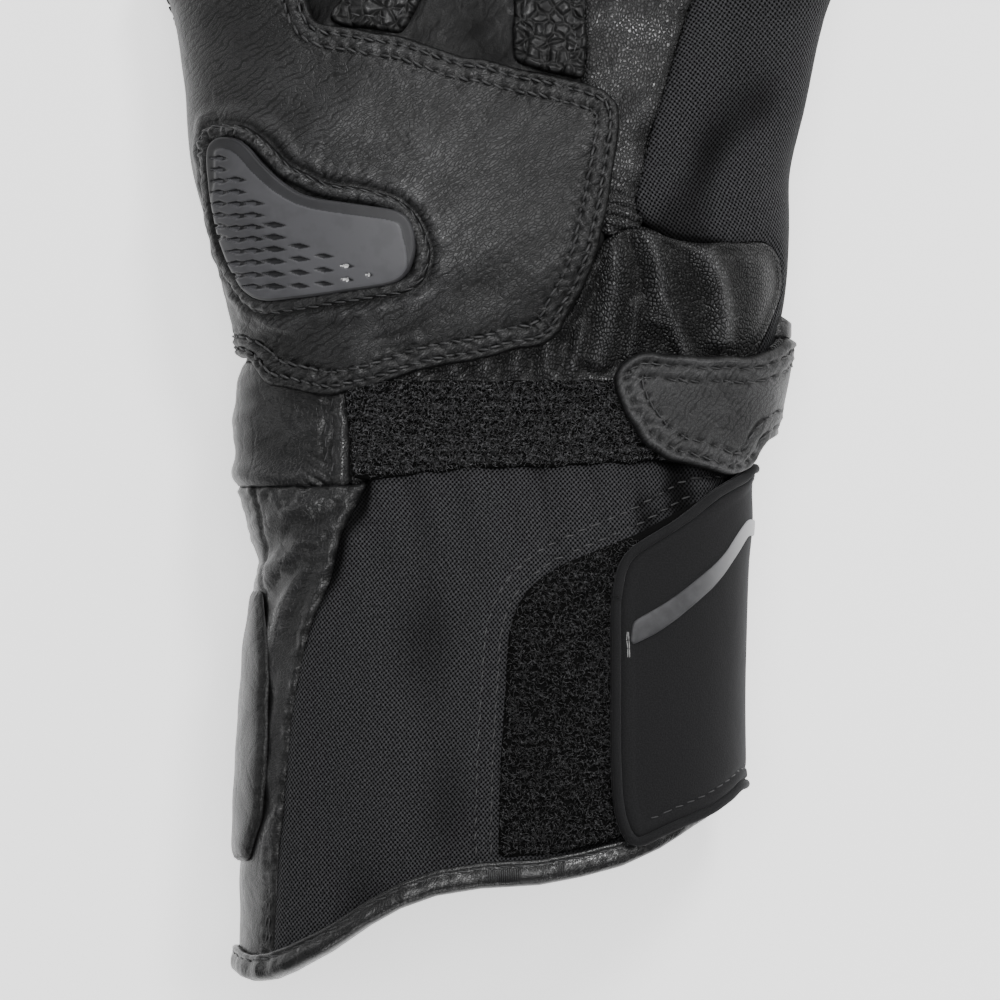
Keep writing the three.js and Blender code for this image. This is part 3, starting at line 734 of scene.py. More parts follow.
def grid_faces(rows, sides, closed=False):
    """Quads over rows of points that each close on themselves; the last row may meet the first."""
    i, k = np.meshgrid(np.arange(rows if closed else rows - 1), np.arange(sides), indexing="ij")
    j, m = (i + 1) % rows, (k + 1) % sides
    return np.stack([i * sides + k, i * sides + m, j * sides + m, j * sides + k], -1).reshape(-1, 4)


def end_faces(rows, sides):
    """The faces that close the first and the last row."""
    return [list(range(sides))[::-1], [(rows - 1) * sides + k for k in range(sides)]]


CAPSULE_SIDES = 6
# A stitch from end to end: place along it and share of its width.
CAPSULE = np.array([(-1.0, 0.35), (-0.72, 0.85), (0.0, 1.0), (0.72, 0.85), (1.0, 0.35)])
THREAD_SEED = 3


def threads(name, lines, material="thread", length=2.15, radius=0.24, step=STITCH, sink=0.12,
            twist=0.16):
    """Rows of single stitches along lines of points with normals."""
    draw = np.random.default_rng(THREAD_SEED)
    along, wide = CAPSULE.T[:, :, None, None]
    stitch_faces = grid_faces(len(CAPSULE), CAPSULE_SIDES).tolist() + end_faces(len(CAPSULE), CAPSULE_SIDES)
    points, faces, base = [], [], 0
    for line in lines:
        gone = gone_along(line[:, :3])
        count = int(gone[-1] / step)
        if count < 1:
            continue
        middles = (np.arange(count) + 0.5) * gone[-1] / count
        a, b, c = [np.stack([np.interp(middles + shift, gone, column) for column in line.T], -1)
                   for shift in (-length / 2, length / 2, 0)]
        ahead, side, up, circle = ring_axes((b - a)[:, :3], c[:, 3:], CAPSULE_SIDES)
        slant = draw.normal(twist, 0.05, count)[:, None]
        reach = (ahead + side * slant) * length / 2
        middle = (a[:, :3] + b[:, :3]) / 2 + up * (radius * 0.9 - sink)
        for m, r, u, around in zip(middle, reach, up, circle):
            bent = m + r * along + radius * wide * around - 0.35 * radius * u * along**2
            points.append(bent.reshape(-1, 3))
            faces += [[corner + base for corner in face] for face in stitch_faces]
            base += len(CAPSULE) * CAPSULE_SIDES
    return piece(name, np.vstack(points), faces, [material])


def swept(name, line, radius, sides, material, closed=False, nodes=()):
    """A round cord along points with normals, its ends rounded off."""
    point, normal = line[:, :3], line[:, 3:]
    ahead = np.roll(point, -1, 0) - np.roll(point, 1, 0) if closed else np.gradient(point, axis=0)
    circle = ring_axes(ahead, normal, sides)[3]
    n = len(point)
    wide = np.full(n, float(radius))
    if not closed:
        end = np.minimum(np.arange(n), np.arange(n)[::-1])
        wide = radius * np.sqrt(np.clip(0.15 + end / 2.5, 0, 1))
    points = (point[:, None] + wide[:, None, None] * circle).reshape(-1, 3)
    faces = grid_faces(n, sides, closed).tolist()
    if not closed:
        faces += end_faces(n, sides)
    turn = 2 * math.pi * np.arange(sides) / sides
    uv = np.stack([np.repeat(gone_along(point), sides), np.tile(turn * radius, n)], -1)
    return piece(name, points, faces, [material], nodes, uv)


# A loop of the tapes: points along it, sides round it, and the pitch of the woven rows that it stands in.
LOOP_STEPS = 5
LOOP_SIDES = 3
LOOP_ROWS = 2.1


def pile(name, ring, high, count, material, seed, wide=0.075, right=FAR, longer=1.0):
    """The loops of a loop tape: thin arched fibres all over an outline."""
    draw = np.random.default_rng(seed)
    spots = draw.uniform(ring.min(0), ring.max(0), (count * 4, 2))
    inside = edge_distance(spots, ring)[0] > 0.45
    seen = FORM.read(spots[:, 0], spots[:, 1])[0][:, 0] < right
    rows = draw.random(len(spots)) < 0.72 + 0.28 * np.cos(2 * math.pi * spots[:, 1] / LOOP_ROWS)
    spots = spots[inside & seen & rows][:count]
    n = len(spots)
    heading = draw.uniform(0, 2 * math.pi, n)
    span, rise = draw.uniform(0.5, 1.7, n) * longer, draw.uniform(0.35, 1.05, n) * longer
    curl = draw.normal(0, 0.35, n) * longer
    t = np.linspace(0, 1, LOOP_STEPS)
    arch = np.sin(math.pi * t)
    ahead = np.stack([np.cos(heading), np.sin(heading)], -1)
    aside = np.stack([-ahead[:, 1], ahead[:, 0]], -1)
    chart = (spots[:, None] + ahead[:, None] * ((t - 0.5) * span[:, None])[..., None]
             + aside[:, None] * (arch * curl[:, None])[..., None])
    s, y = chart.reshape(-1, 2).T
    line = world_line(s, y, (high - 0.1 + arch * rise[:, None]).ravel()).reshape(n, LOOP_STEPS, 6)
    point, normal = line[..., :3], line[..., 3:]
    circle = ring_axes(np.gradient(point, axis=1), normal, LOOP_SIDES)[3]
    points = (point[:, :, None] + wide * circle).reshape(-1, 3)
    first = np.arange(n)[:, None, None] * LOOP_STEPS * LOOP_SIDES
    faces = (grid_faces(LOOP_STEPS, LOOP_SIDES) + first).reshape(-1, 4)
    return piece(name, points, faces, [material])


# Materials.


class Shader:
    """A node tree for one surface, its patterns measured in millimetres of the chart or of the object."""

    def __init__(self, name, chart=True):
        self.material = bpy.data.materials.new(name)
        self.material.use_nodes = True
        self.tree = self.material.node_tree
        self.tree.nodes.clear()
        self.out = self.node("ShaderNodeOutputMaterial")
        self.surface = self.node("ShaderNodeBsdfPrincipled")
        self.tree.links.new(self.surface.outputs[0], self.out.inputs[0])
        if chart:
            source = self.node("ShaderNodeUVMap", uv_map="chart").outputs[0]
        else:
            source = self.node("ShaderNodeTexCoord").outputs["Object"]
        self.space = "2D" if chart else "3D"
        self.place = self.mapped(source, (1 / (CHART_UNIT if chart else MM),) * 3)

    def node(self, kind, **settings):
        made = self.tree.nodes.new(kind)
        for key, value in settings.items():
            setattr(made, key, value)
        return made

    def put(self, socket, value):
        """Links a socket to another or sets its value; three numbers are a colour."""
        if isinstance(value, bpy.types.NodeSocket):
            self.tree.links.new(value, socket)
        else:
            socket.default_value = (*value, 1) if isinstance(value, tuple) else value

    def mapped(self, vector, size, turn=0.0, kind="POINT"):
        """The place scaled and turned. The kind TEXTURE draws out and turns what is drawn there instead."""
        made = self.node("ShaderNodeMapping", vector_type=kind)
        self.put(made.inputs["Vector"], vector)
        made.inputs["Scale"].default_value = size
        made.inputs["Rotation"].default_value = (0, 0, math.radians(turn))
        return made.outputs[0]

    def part(self, vector, axis):
        """One coordinate of a place."""
        made = self.node("ShaderNodeSeparateXYZ")
        self.put(made.inputs[0], vector)
        return made.outputs[axis]

    def read(self, name):
        """A value stored on the points of the mesh."""
        return self.node("ShaderNodeAttribute", attribute_name=name).outputs["Fac"]

    def math(self, how, a, b=0.0, c=0.0):
        made = self.node("ShaderNodeMath", operation=how)
        for socket, value in zip(made.inputs, (a, b, c)):
            self.put(socket, value)
        return made.outputs[0]

    def times(self, a, b):
        return self.math("MULTIPLY", a, b)

    def plus(self, a, times, more):
        return self.math("MULTIPLY_ADD", a, times, more)

    def noise(self, vector, pitch, detail=2.0, rough=0.55, bend=0.0):
        made = self.node("ShaderNodeTexNoise", noise_dimensions=self.space)
        self.put(made.inputs["Vector"], vector)
        settings = {"Scale": 1 / pitch, "Detail": detail, "Roughness": rough, "Distortion": bend}
        for key, value in settings.items():
            made.inputs[key].default_value = value
        return made.outputs["Fac"]

    def cells(self, vector, pitch, edges=True):
        made = self.node("ShaderNodeTexVoronoi", feature="DISTANCE_TO_EDGE" if edges else "F1",
                         voronoi_dimensions=self.space)
        self.put(made.inputs["Vector"], vector)
        made.inputs["Scale"].default_value = 1 / pitch
        return made.outputs["Distance"]

    def ramp(self, value, low, high, a=0.0, b=1.0):
        made = self.node("ShaderNodeMapRange", interpolation_type="SMOOTHSTEP")
        for key, v in (("Value", value), ("From Min", low), ("From Max", high), ("To Min", a), ("To Max", b)):
            self.put(made.inputs[key], v)
        return made.outputs["Result"]

    def mix(self, share, a, b):
        made = self.node("ShaderNodeMix", data_type="RGBA")
        self.put(made.inputs[0], share)
        self.put(made.inputs[6], a)
        self.put(made.inputs[7], b)
        return made.outputs[2]

    def wobble(self, vector, pitch, reach):
        """The place shifted by smooth noise."""
        made = self.node("ShaderNodeTexNoise", noise_dimensions=self.space)
        self.put(made.inputs["Vector"], vector)
        made.inputs["Scale"].default_value = 1 / pitch
        middle = self.node("ShaderNodeVectorMath", operation="MULTIPLY_ADD")
        self.put(middle.inputs[0], made.outputs["Color"])
        middle.inputs[1].default_value = (2 * reach,) * 3
        self.put(middle.inputs[2], vector)
        return middle.outputs[0]

    def bump(self, layers):
        """Bumps added up, each a height between 0 and 1 and its depth in millimetres."""
        normal = None
        for height, depth in layers:
            made = self.node("ShaderNodeBump")
            made.inputs["Distance"].default_value = depth * MM
            self.put(made.inputs["Height"], height)
            if normal is not None:
                self.put(made.inputs["Normal"], normal)
            normal = made.outputs[0]
        self.put(self.surface.inputs["Normal"], normal)

    def set(self, **values):
        """Sets the surface's sockets, their spaces written as underscores, and returns the material."""
        for key, value in values.items():
            self.put(self.surface.inputs[key.replace("_", " ")], value)
        return self.material


def shade(color, factor):
    """The colour times a factor."""
    return tuple(c * factor for c in color)


BLACK = (0.0105, 0.0105, 0.0108)
CLOTH_BLACK = (0.0062, 0.0062, 0.0066)
# Painted light from the height of a relief: painted shade in low places and painted highlight on raised ones
# for leather, painted shade in low places for cloth; from and to in millimetres, and the shares there.
RELIEF_SHADE_AND_HIGHLIGHT = (-0.9, 0.9, 0.35, 1.65)
CLOTH_RELIEF_SHADE = (-1.1, -0.1, 0.1, 1.0)
# Where along the chart the plate's painted light turns from dark to light, and the reflective film's painted
# sheen from grey to bright.
PLATE_PAINTED_LIGHT = (-74.0, -36.0)
FILM_PAINTED_SHEEN = (36.0, 60.0)
PLATE = (0.08, 0.08, 0.086)
# How far the leather's creases are drawn out.
CREASE_DRAWN = 2.4


def leather(name, rough, pitch, deep, drawn=1.0, turn=38, low=0.0, soft=0.14, lines=0.0, lit=1.6, chart=True,
            gloss=0.3, crease=0.04, dark=0.25, painted_sheen_at=None):
    """Black leather: a cell grain, long thin creases that run the same way, and painted shade and highlight by
    relief height.

    pitch and deep are the grain's, in millimetres. It is drawn out and turned, and its cells rise from low to
    soft. lines is the spacing of the creases, lit and dark the shares of the colour on the grain and in its
    gaps, crease the depth of broad wrinkles, and painted_sheen_at a spot and the reach of a painted sheen that
    lightens the leather round it.
    """
    m = Shader(name, chart)
    place = m.wobble(m.place, 6, 0.9)
    grain = m.mapped(m.wobble(place, 0.9 * pitch, 0.14 * pitch), (drawn, 1, 1), turn, "TEXTURE")
    high = m.ramp(m.cells(grain, pitch), low, soft)
    if lines:
        bent = m.wobble(m.wobble(m.place, 5, 1.5), 1.5, 0.3)
        run = m.mapped(bent, (CREASE_DRAWN, 1, 1), turn, "TEXTURE")
        wave = m.math("SINE", m.times(m.part(run, 1), 2 * math.pi / lines))
        broken = m.ramp(m.noise(run, 1.6 * lines, 1), 0.42, 0.62, 0.1, 0.85)
        high = m.times(m.plus(high, 0.72, 0.28), m.math("MAXIMUM", m.ramp(wave, -1.0, -0.1), broken))
    uneven = m.noise(m.place, 0.5, 2)
    broad = m.noise(m.place, 9, 3, 0.6, 0.6)
    folds = m.ramp(m.cells(m.wobble(m.place, 5, 2.2), 7.5), 0.0, 0.12)
    mottle_and_painted_light = m.times(m.ramp(broad, 0.3, 0.7, 0.8, 1.2), m.ramp(uneven, 0.3, 0.7, 0.85, 1.15))
    # Painted shade in the relief's low places and painted highlight on its raised ones.
    mottle_and_painted_light = m.times(mottle_and_painted_light, m.ramp(m.read("rise"), *RELIEF_SHADE_AND_HIGHLIGHT))
    # Painted sheen: the leather is lightened round a spot, as a pool of light.
    if painted_sheen_at:
        x, y, reach = painted_sheen_at
        away = m.node("ShaderNodeVectorMath", operation="DISTANCE")
        m.put(away.inputs[0], m.place)
        away.inputs[1].default_value = (x, y, 0)
        mottle_and_painted_light = m.times(mottle_and_painted_light, m.ramp(away.outputs["Value"], 0.2 * reach, reach, 1.15, 0.5))
    share = m.times(m.plus(high, 1.0 - dark, dark), mottle_and_painted_light)
    m.bump([(broad, 0.35), (folds, crease), (high, deep)])
    return m.set(Base_Color=m.mix(m.times(share, 0.25), (0.0, 0.0, 0.0), shade(BLACK, 4 * lit)),
                 Roughness=m.plus(share, -0.12, rough + 0.12), Specular_IOR_Level=gloss)


def cloth(name, pitch, deep, turn, gloss=0.08):
    """Woven cloth: floats of thread in staggered rows over small dark gaps, with painted shade in its seams
    and grooves.
    """
    m = Shader(name)
    bent = m.wobble(m.wobble(m.place, 14, 0.5), 1.6, 0.05)
    place = m.mapped(bent, (2 * math.pi / pitch, 1.75 * math.pi / pitch, 1), turn)
    over = m.times(m.math("SINE", m.part(place, 0)), m.math("SINE", m.part(place, 1)))
    float_up = m.ramp(over, -0.75, 0.5)
    uneven = m.noise(m.place, 0.45, 2, 0.6)
    lit = m.times(float_up, m.ramp(uneven, 0.25, 0.7, 0.4, 1.0))
    # Painted shade: the cloth darkens in the relief's low places, its seams and grooves.
    lit = m.times(lit, m.ramp(m.read("rise"), *CLOTH_RELIEF_SHADE))
    m.bump([(m.noise(m.place, 16, 3), 0.3), (float_up, deep)])
    return m.set(Base_Color=m.mix(lit, shade(CLOTH_BLACK, 0.05), shade(CLOTH_BLACK, 8.4)),
                 Roughness=m.plus(float_up, -0.3, 0.95), Specular_IOR_Level=gloss)


def plain_cloth(name, color, rough=0.9, fuzz=0.25):
    """Close-napped softshell or lining."""
    m = Shader(name)
    fine = m.noise(m.place, 0.3, 3, 0.65)
    knit = m.noise(m.mapped(m.place, (1, 0.35, 1)), 0.22, 1)
    tone = m.mix(m.ramp(fine, 0.35, 0.7), shade(color, 0.8), shade(color, 1.25))
    m.bump([(m.noise(m.place, 12, 3), 0.25), (knit, 0.03), (fine, 0.02)])
    return m.set(Base_Color=tone, Roughness=rough, Specular_IOR_Level=0.12, Sheen_Weight=fuzz,
                 Sheen_Roughness=0.45, Sheen_Tint=(0.5, 0.5, 0.52))


def hard_plate_material(name, light):
    """Moulded plastic, with painted shade that darkens it towards the glove's side."""
    m = Shader(name)
    haze = m.noise(m.place, 5, 3)
    near = m.ramp(haze, 0.3, 0.7, 0.9 * light, 1.1 * light)
    # Painted light: darker at the left end of the chart, lighter at the right.
    share = m.times(near, m.ramp(m.part(m.place, 0), *PLATE_PAINTED_LIGHT))
    m.bump([(m.noise(m.place, 0.12, 2, 0.6), 0.006)])
    return m.set(Base_Color=m.mix(share, (0.0, 0.0, 0.0), PLATE), Roughness=m.plus(haze, 0.1, 0.36),
                 Specular_IOR_Level=0.22)


def painted_glint_material():
    """Painted glints: a pale colour on facets of the plate's smallest recesses."""
    m = Shader("painted_glint_facet")
    haze = m.noise(m.place, 0.4, 2)
    return m.set(Base_Color=m.mix(haze, (0.5, 0.5, 0.5), (0.75, 0.75, 0.75)), Roughness=0.25)


def film_material():
    """Grey reflective film, with a painted sheen that brightens it where it turns down the side."""
    m = Shader("reflective_film")
    haze = m.noise(m.place, 3, 3)
    tone = m.mix(m.ramp(haze, 0.3, 0.75), (0.04, 0.04, 0.042), (0.055, 0.055, 0.058))
    # Painted sheen: brighter towards the right along the chart.
    tone = m.mix(m.ramp(m.part(m.place, 0), *FILM_PAINTED_SHEEN), tone, (0.42, 0.42, 0.43))
    m.bump([(haze, 0.01), (m.cells(m.place, 0.16, edges=False), 0.008)])
    return m.set(Base_Color=tone, Metallic=0.1, Roughness=0.5, Specular_IOR_Level=0.2)


def thread_material(name, color, rough=0.55):
    """Twisted thread."""
    m = Shader(name, chart=False)
    twist = m.noise(m.place, 0.2, 2)
    m.bump([(twist, 0.03)])
    return m.set(Base_Color=m.mix(twist, shade(color, 0.7), shade(color, 1.3)), Roughness=rough)


def fibre_material(name, light):
    """Fine fibres, some of them grey."""
    m = Shader(name, chart=False)
    patchy = m.noise(m.place, 0.45, 2)
    tone = m.mix(m.ramp(patchy, 0.42, 0.68), (0.0015, 0.0015, 0.0015), (light, light, 1.04 * light))
    return m.set(Base_Color=tone, Roughness=0.5, Specular_IOR_Level=0.35)


def floor_material():
    """A pale floor that is lit a little from itself, for the photo's white ground."""
    m = Shader("floor", chart=False)
    tone = m.mix(m.noise(m.place, 400, 2), (0.86, 0.86, 0.86), (0.88, 0.88, 0.88))
    return m.set(Base_Color=tone, Roughness=0.9, Specular_IOR_Level=0.2, Emission_Color=(1.0, 1.0, 1.0),
                 Emission_Strength=1.25)


MATERIAL = {
    "patch": leather("patch_leather", 0.38, 0.46, 0.07, drawn=2.4, turn=34, soft=0.2, lines=1.25, lit=2.6,
                     dark=0.2, painted_sheen_at=(-26, -6, 46)),
    "palm": leather("palm_leather", 0.42, 0.5, 0.03, turn=60, lines=1.6, lit=0.75, gloss=0.15),
    "soft": leather("soft_leather", 0.3, 0.58, 0.16, drawn=1.5, turn=78, low=0.05, soft=0.32, lit=3.1,
                    dark=0.05),
    "coarse": leather("coarse_leather", 0.42, 2.4, 0.4, soft=0.3, lit=1.4, dark=0.2),
    "side": leather("side_leather", 0.34, 0.6, 0.04, drawn=1.5, turn=35, lit=1.25, crease=0.05, dark=0.4),
    "strap": leather("strap_leather", 0.44, 0.34, 0.04, drawn=2.6, turn=62, soft=0.25, lines=1.0, lit=3.0,
                     dark=0.35),
    "binding": leather("binding_leather", 0.27, 0.7, 0.02, lit=1.4, gloss=0.45),
    "bare": leather("keeper_leather", 0.3, 0.6, 0.03, chart=False, gloss=0.5),
    "stretch": cloth("stretch_cloth", 0.88, 0.08, -8),
    "woven": cloth("woven_cloth", 0.84, 0.07, 4),
    "softshell": plain_cloth("softshell", (0.0118, 0.0118, 0.0124), fuzz=0.12),
    "lining": plain_cloth("lining", (0.010, 0.010, 0.011), 0.95, 0.3),
    "tape": plain_cloth("tape_ground", (0.002, 0.002, 0.002), 0.95, 0.0),
    "fibre": fibre_material("loop_fibre", 0.115),
    "dark_fibre": fibre_material("dark_loop_fibre", 0.075),
    # Painted highlight: a lit copy of the plate for facets of the first rows of recesses.
    "facet": hard_plate_material("painted_highlight_facet", 3.0),
    "plate": hard_plate_material("hard_plate", 1.0),
    # The plate's darker rim, also used as painted shade in its recesses.
    "plate_rim_and_recess_shade": hard_plate_material("plate_rim_and_recess_shade", 0.4),
    # Painted glints on facets of the smallest recesses.
    "glint": painted_glint_material(),
    "film": film_material(),
    "thread": thread_material("thread", (0.026, 0.026, 0.027)),
    "satin": thread_material("satin_thread", (0.014, 0.014, 0.0145), 0.35),
    "tack": thread_material("tack_thread", (0.3, 0.3, 0.3), 0.6),
}


# The shell's panels.


def chart_line(points, lift=0.0):
    """An open line drawn from above, in the chart."""
    line = spaced(points, DRAWN, closed=False)
    got = [(FORM.s_above(x, y, lift), y) for x, y in line]
    return [(s, y) for s, y in got if not isinstance(s, str)]


def left_edge(y0, y1, low):
    """The left side at a height, as it is reached from the right by going under."""
    ys = np.linspace(y0, y1, max(2, int(abs(y1 - y0) / CHARTED)))
    under = FORM.half("right", ys) + FORM.half("left", ys)
    return [(u + FORM.s_at_height("left", y, low), y) for u, y in zip(under, ys)]


# Points of an outline that runs across the back.
ACROSS = 60


def back_ring(right_side, y_low, y_high, steps):
    """A ring from an open line on the right side, under the glove and up the left side."""
    left = [p for y0, y1, low in steps for p in left_edge(y0, y1, low)]
    top = np.linspace(right_side[-1][0], left[0][0], ACROSS)[1:-1]
    bottom = np.linspace(left[-1][0], right_side[0][0], ACROSS)[1:-1]
    ring = [*right_side, *[(s, y_high) for s in top], *left, *[(s, y_low) for s in bottom]]
    return anticlockwise(eased(spaced(above_hem(spaced(ring, CHARTED), 1.0), CHARTED), 2))


# How far the shell's panels reach past their seams, the heights at which they end on the
# sides, and places past the hem where the cuff's panels are cut off by it.
LAP = 0.12
HAND_LOW = 13
FRONT_LOW = 27
WRIST_LOW = 10
BACK_END = -161
CUFF_BEYOND = -170
CLOTH_CORNER = (-39.5, CLOTH_TOP)
GATHER_CORNER = (-43, -59.5)
PALM_CORNER = (2, PALM_TOP)
THENAR_TOP = [(19, PALM_TOP), (26, 66)]
HAND_EDGE = [
    (31.3, WRIST_Y), *GATHER_RIGHT[::-1], (14.5, -8.5), *THENAR_SEAM[::-1][1:-1], (29.5, 62),
    *THENAR_TOP[::-1],
]
CUFF_RIGHT = [(FORM.s_at_height("right", y, FRONT_LOW), y) for y in np.linspace(BACK_END, WRIST_Y, 130)]
TOP = {name: top for name, (bottom, top) in LAYER.items()}
# Every outline in the chart, with the height at which a side ends.
RING = {
    "palm": chart_of([*THENAR_LEFT, *GATHER_TOP[:4][::-1], (-FAR, -35), (-FAR, PALM_TOP), PALM_CORNER],
                     HAND_LOW, grow=LAP),
    "thenar": chart_of([*THENAR_TOP, *THENAR_SEAM, *GATHER_TOP[::-1][:3], *THENAR_LEFT[::-1], PALM_CORNER],
                       HAND_LOW, grow=LAP),
    "gather": chart_of([*GATHER_TOP, *GATHER_RIGHT, CLOTH_CORNER, CUFF_SIDE_SEAM[0], GATHER_CORNER],
                       HAND_LOW, grow=LAP),
    "wrist_side": chart_of([(-FAR, -35), (-43, -35), GATHER_CORNER, (-FAR, -60)], WRIST_LOW, grow=LAP),
    "cuff_side": chart_of([(-FAR, -60), GATHER_CORNER, *CUFF_SIDE_SEAM, (-FAR, CUFF_BEYOND)], WRIST_LOW,
                          grow=LAP),
    "cuff_front": chart_of([CLOTH_CORNER, *CUFF_SIDE_SEAM, (FAR, CUFF_BEYOND), (FAR, WRIST_Y), HAND_EDGE[0],
                            GATHER_RIGHT[-1]], FRONT_LOW, grow=LAP),
    "hand_back": back_ring(chart_line(HAND_EDGE), WRIST_Y, PALM_TOP,
                           [(PALM_TOP, -35, HAND_LOW), (-35, WRIST_Y, WRIST_LOW)]),
    "cuff_back": back_ring(CUFF_RIGHT, BACK_END, WRIST_Y, [(WRIST_Y, BACK_END, WRIST_LOW)]),
    "heel": chart_of(HEEL_PATCH, 11, 3, lift=TOP["patch"], waver=0.14),
    "grip": chart_of(GRIP_PATCH, 20, lift=TOP["patch"], waver=0.2),
    "frame": chart_of(SLIDER_FRAME, 12, lift=TOP["frame"], waver=0.12),
    "slider": chart_of(SLIDER, 13, lift=TOP["slider"]),
    "band": chart_of(LOOP_BAND, 18, lift=TOP["tape"], waver=0.2),
    "strap": chart_of(STRAP, 8, 3, lift=TOP["strap"], waver=0.18),
    "cuff_loop": chart_of(CUFF_LOOP, 24, hem=HEM_BAND, lift=TOP["tape"]),
    "flap": chart_of(FLAP, 14, 3, hem=-2.0, lift=TOP["strap"]),
    "stripe": chart_of(STRIPE, 20, 1, lift=TOP["stripe"]),
    "side_patch": chart_of(SIDE_PATCH, 6, lift=TOP["patch"]),
}


# How far inside its outline each piece's rows of stitches run; those of the cuff's tape lie outside it.
STITCH_ROWS = {
    "heel": (1.9, 4.6),
    "frame": (0.35,),
    "strap": (2.1, 4.8),
    "grip": (2.2,),
    "flap": (4.1,),
    "side_patch": (0.8,),
    "cuff_side": (2.0, 2.9),
    "cuff_loop": (-1.6, -4.6),
}


def outside_of(place, name):
    """Distance from another piece's outline, positive outside it."""
    return -edge_distance(np.stack([place.s, place.y], -1), RING[name])[0]


def palm_relief(place):
    """Sunk seams, broad swells, and finer ones where the palm shows between the patches."""
    high = seam(place) + 0.3 * place.waves(16, 5)
    high += 0.22 * place.waves(5.5, 6, 20, 2.2) * step_up(place.y, 15, 30)
    return high * step_up(place.d, -0.5, 2) + seam(place, 0.5)


def thenar_relief(place):
    """Sunk seams, the pinched wrinkles at the corner over the wrist, and one long swell."""
    pinched = bump(np.hypot((place.x - 11) / 6.5, (place.y + 8) / 4.2), 1.0)
    high = seam(place, 0.9, 1.1) + 0.28 * place.waves(12, 8)
    high += 0.75 * pinched * np.sin(2 * math.pi * (place.y + 0.25 * place.x) / 2.2)
    return high + 0.5 * bump(place.x - 12.5 - 0.12 * (place.y - 10), 4.0)


# Crests of the gathers: three points each, then reach and rise.
CRESTS = [
    ((2.4, -29.0), (1.2, -34.0), (0.0, -38.5), 1.1, 1.3),
    ((8.0, -12.0), (8.4, -21.0), (5.4, -35.0), 1.9, 2.3),
    ((13.0, -24.0), (12.4, -29.0), (11.4, -34.0), 1.1, 1.0),
    ((13.6, -9.7), (17.0, -18.0), (16.6, -27.0), 1.8, 2.5),
    ((18.3, -23.0), (20.0, -28.0), (22.4, -34.0), 1.3, 1.5),
    ((23.8, -12.4), (28.6, -20.0), (29.6, -31.0), 2.1, 2.2),
    ((36.0, -14.0), (37.6, -20.0), (36.0, -28.0), 3.6, 0.8),
    ((-4.0, -29), (-4.5, -34), (-5.0, -39), 1.4, 1.4),
    ((-9.5, -31), (-10.5, -35), (-11.0, -39), 1.5, 1.7),
    ((-16.0, -32), (-16.5, -36), (-17.0, -40), 1.6, 1.4),
    ((-22.0, -34), (-23.0, -37), (-24.0, -40), 1.5, 1.5),
    ((-29.0, -35), (-30.0, -38), (-31.0, -41), 1.5, 1.3),
]


def crest_rise(place):
    """Crests that follow a bent line through three points."""
    points = np.stack([place.x, place.y], -1)
    t = np.linspace(0, 1, 24)[:, None]
    total = np.zeros_like(place.d)
    for start, middle, end, reach, rise in CRESTS:
        start, middle, end = np.array(start), np.array(middle), np.array(end)
        pull = 2 * middle - (start + end) / 2
        line = (1 - t) ** 2 * start + 2 * t * (1 - t) * pull + t**2 * end
        away = np.linalg.norm(points[:, None] - line[None], axis=2)
        share = away.argmin(1) / (len(t) - 1)
        total += rise * bump(away.min(1), reach) * step_up(share, -0.25, 0.2)
    return total


def gather_relief(place):
    """The crests, held flat under the patch and the tape, and a piped edge at the top right."""
    held = step_up(np.minimum(outside_of(place, "heel"), outside_of(place, "band")), -0.5, 2.0)
    wrinkled = held * step_up(-place.x, -36, -28)
    high = (crest_rise(place) - 0.9) * held + 0.06 * place.waves(2.6, 11, 78, 3.0) * wrinkled
    piped = step_up(place.x, 35, 38) * step_up(-place.y, 11, 14)
    high = high * step_up(place.d, 0, 1.8) + 0.55 * piped * bump(place.d - 0.75, 0.5)
    return high + seam(place, 0.6, 0.7)


def wrist_side_relief(place):
    """Wrinkles drawn in along the edge by its two rows of stitches, and a roll at the foot."""
    high = seam(place, 0.5) + 0.2 * place.waves(11, 21, 8, 2.5)
    high += 0.07 * place.waves(3.2, 22, 15, 2.0)
    edge = place.x + 43.6 + 0.35 * place.waves(7, 23)
    drawn = step_up(place.y, -47, -41) + step_up(-place.y, 49, 54)
    pulled = bump(edge + 6.0, 2.6) * (0.25 + drawn)
    high += 0.3 * pulled * np.sin(2 * math.pi * (place.y + 0.7 * place.x) / 2.1)
    high += 0.5 * bump(edge + 1.2, 1.2) - 0.45 * bump(edge + 2.9, 0.35) - 0.35 * bump(edge + 4.2, 0.35)
    high += 0.7 * bump(place.y + 57.6, 2.6) * step_up(-place.x, 45, 60)
    return high


# Glossy folds of the leather down the cuff's side: x y turn along across rise. Each has a hollow beside it.
SIDE_FOLDS = [
    (-51.5, -63.0, 20, 7, 1.7, 0.6),
    (-56.0, -67.0, 28, 9, 1.8, 0.65),
    (-53.0, -72.0, 48, 7, 1.5, 0.6),
    (-59.0, -77.0, 55, 8, 1.9, 0.65),
    (-54.5, -80.0, 62, 7, 1.4, 0.5),
    (-57.0, -88.0, 74, 9, 1.7, 0.55),
    (-61.0, -97.0, 80, 9, 2.0, 0.45),
    (-57.5, -104, 84, 8, 1.8, 0.4),
    (-58.0, -119, 92, 9, 2.0, 0.35),
    (-59.5, -135, 88, 9, 2.0, 0.3),
]
# Crimped places of the cuff's side: x y turn along across.
CRIMPS = [
    (-54.0, -62.8, 8, 4.6, 2.4),
    (-51.6, -71.6, 54, 8.0, 2.0),
    (-48.6, -47.5, 70, 4.0, 2.0),
]


def crimped(place):
    """Short waves in a few places that are drawn together."""
    total = 0
    for x, y, turn, along, across in CRIMPS:
        u, v = place.about(x, y, turn)
        wave = np.cos(2 * math.pi * (u + 0.6 * v) / 1.7 + 2 * place.waves(3, 35))
        total = total + (0.35 + 0.3 * wave) * bump(u, along) * bump(v, across)
    return total


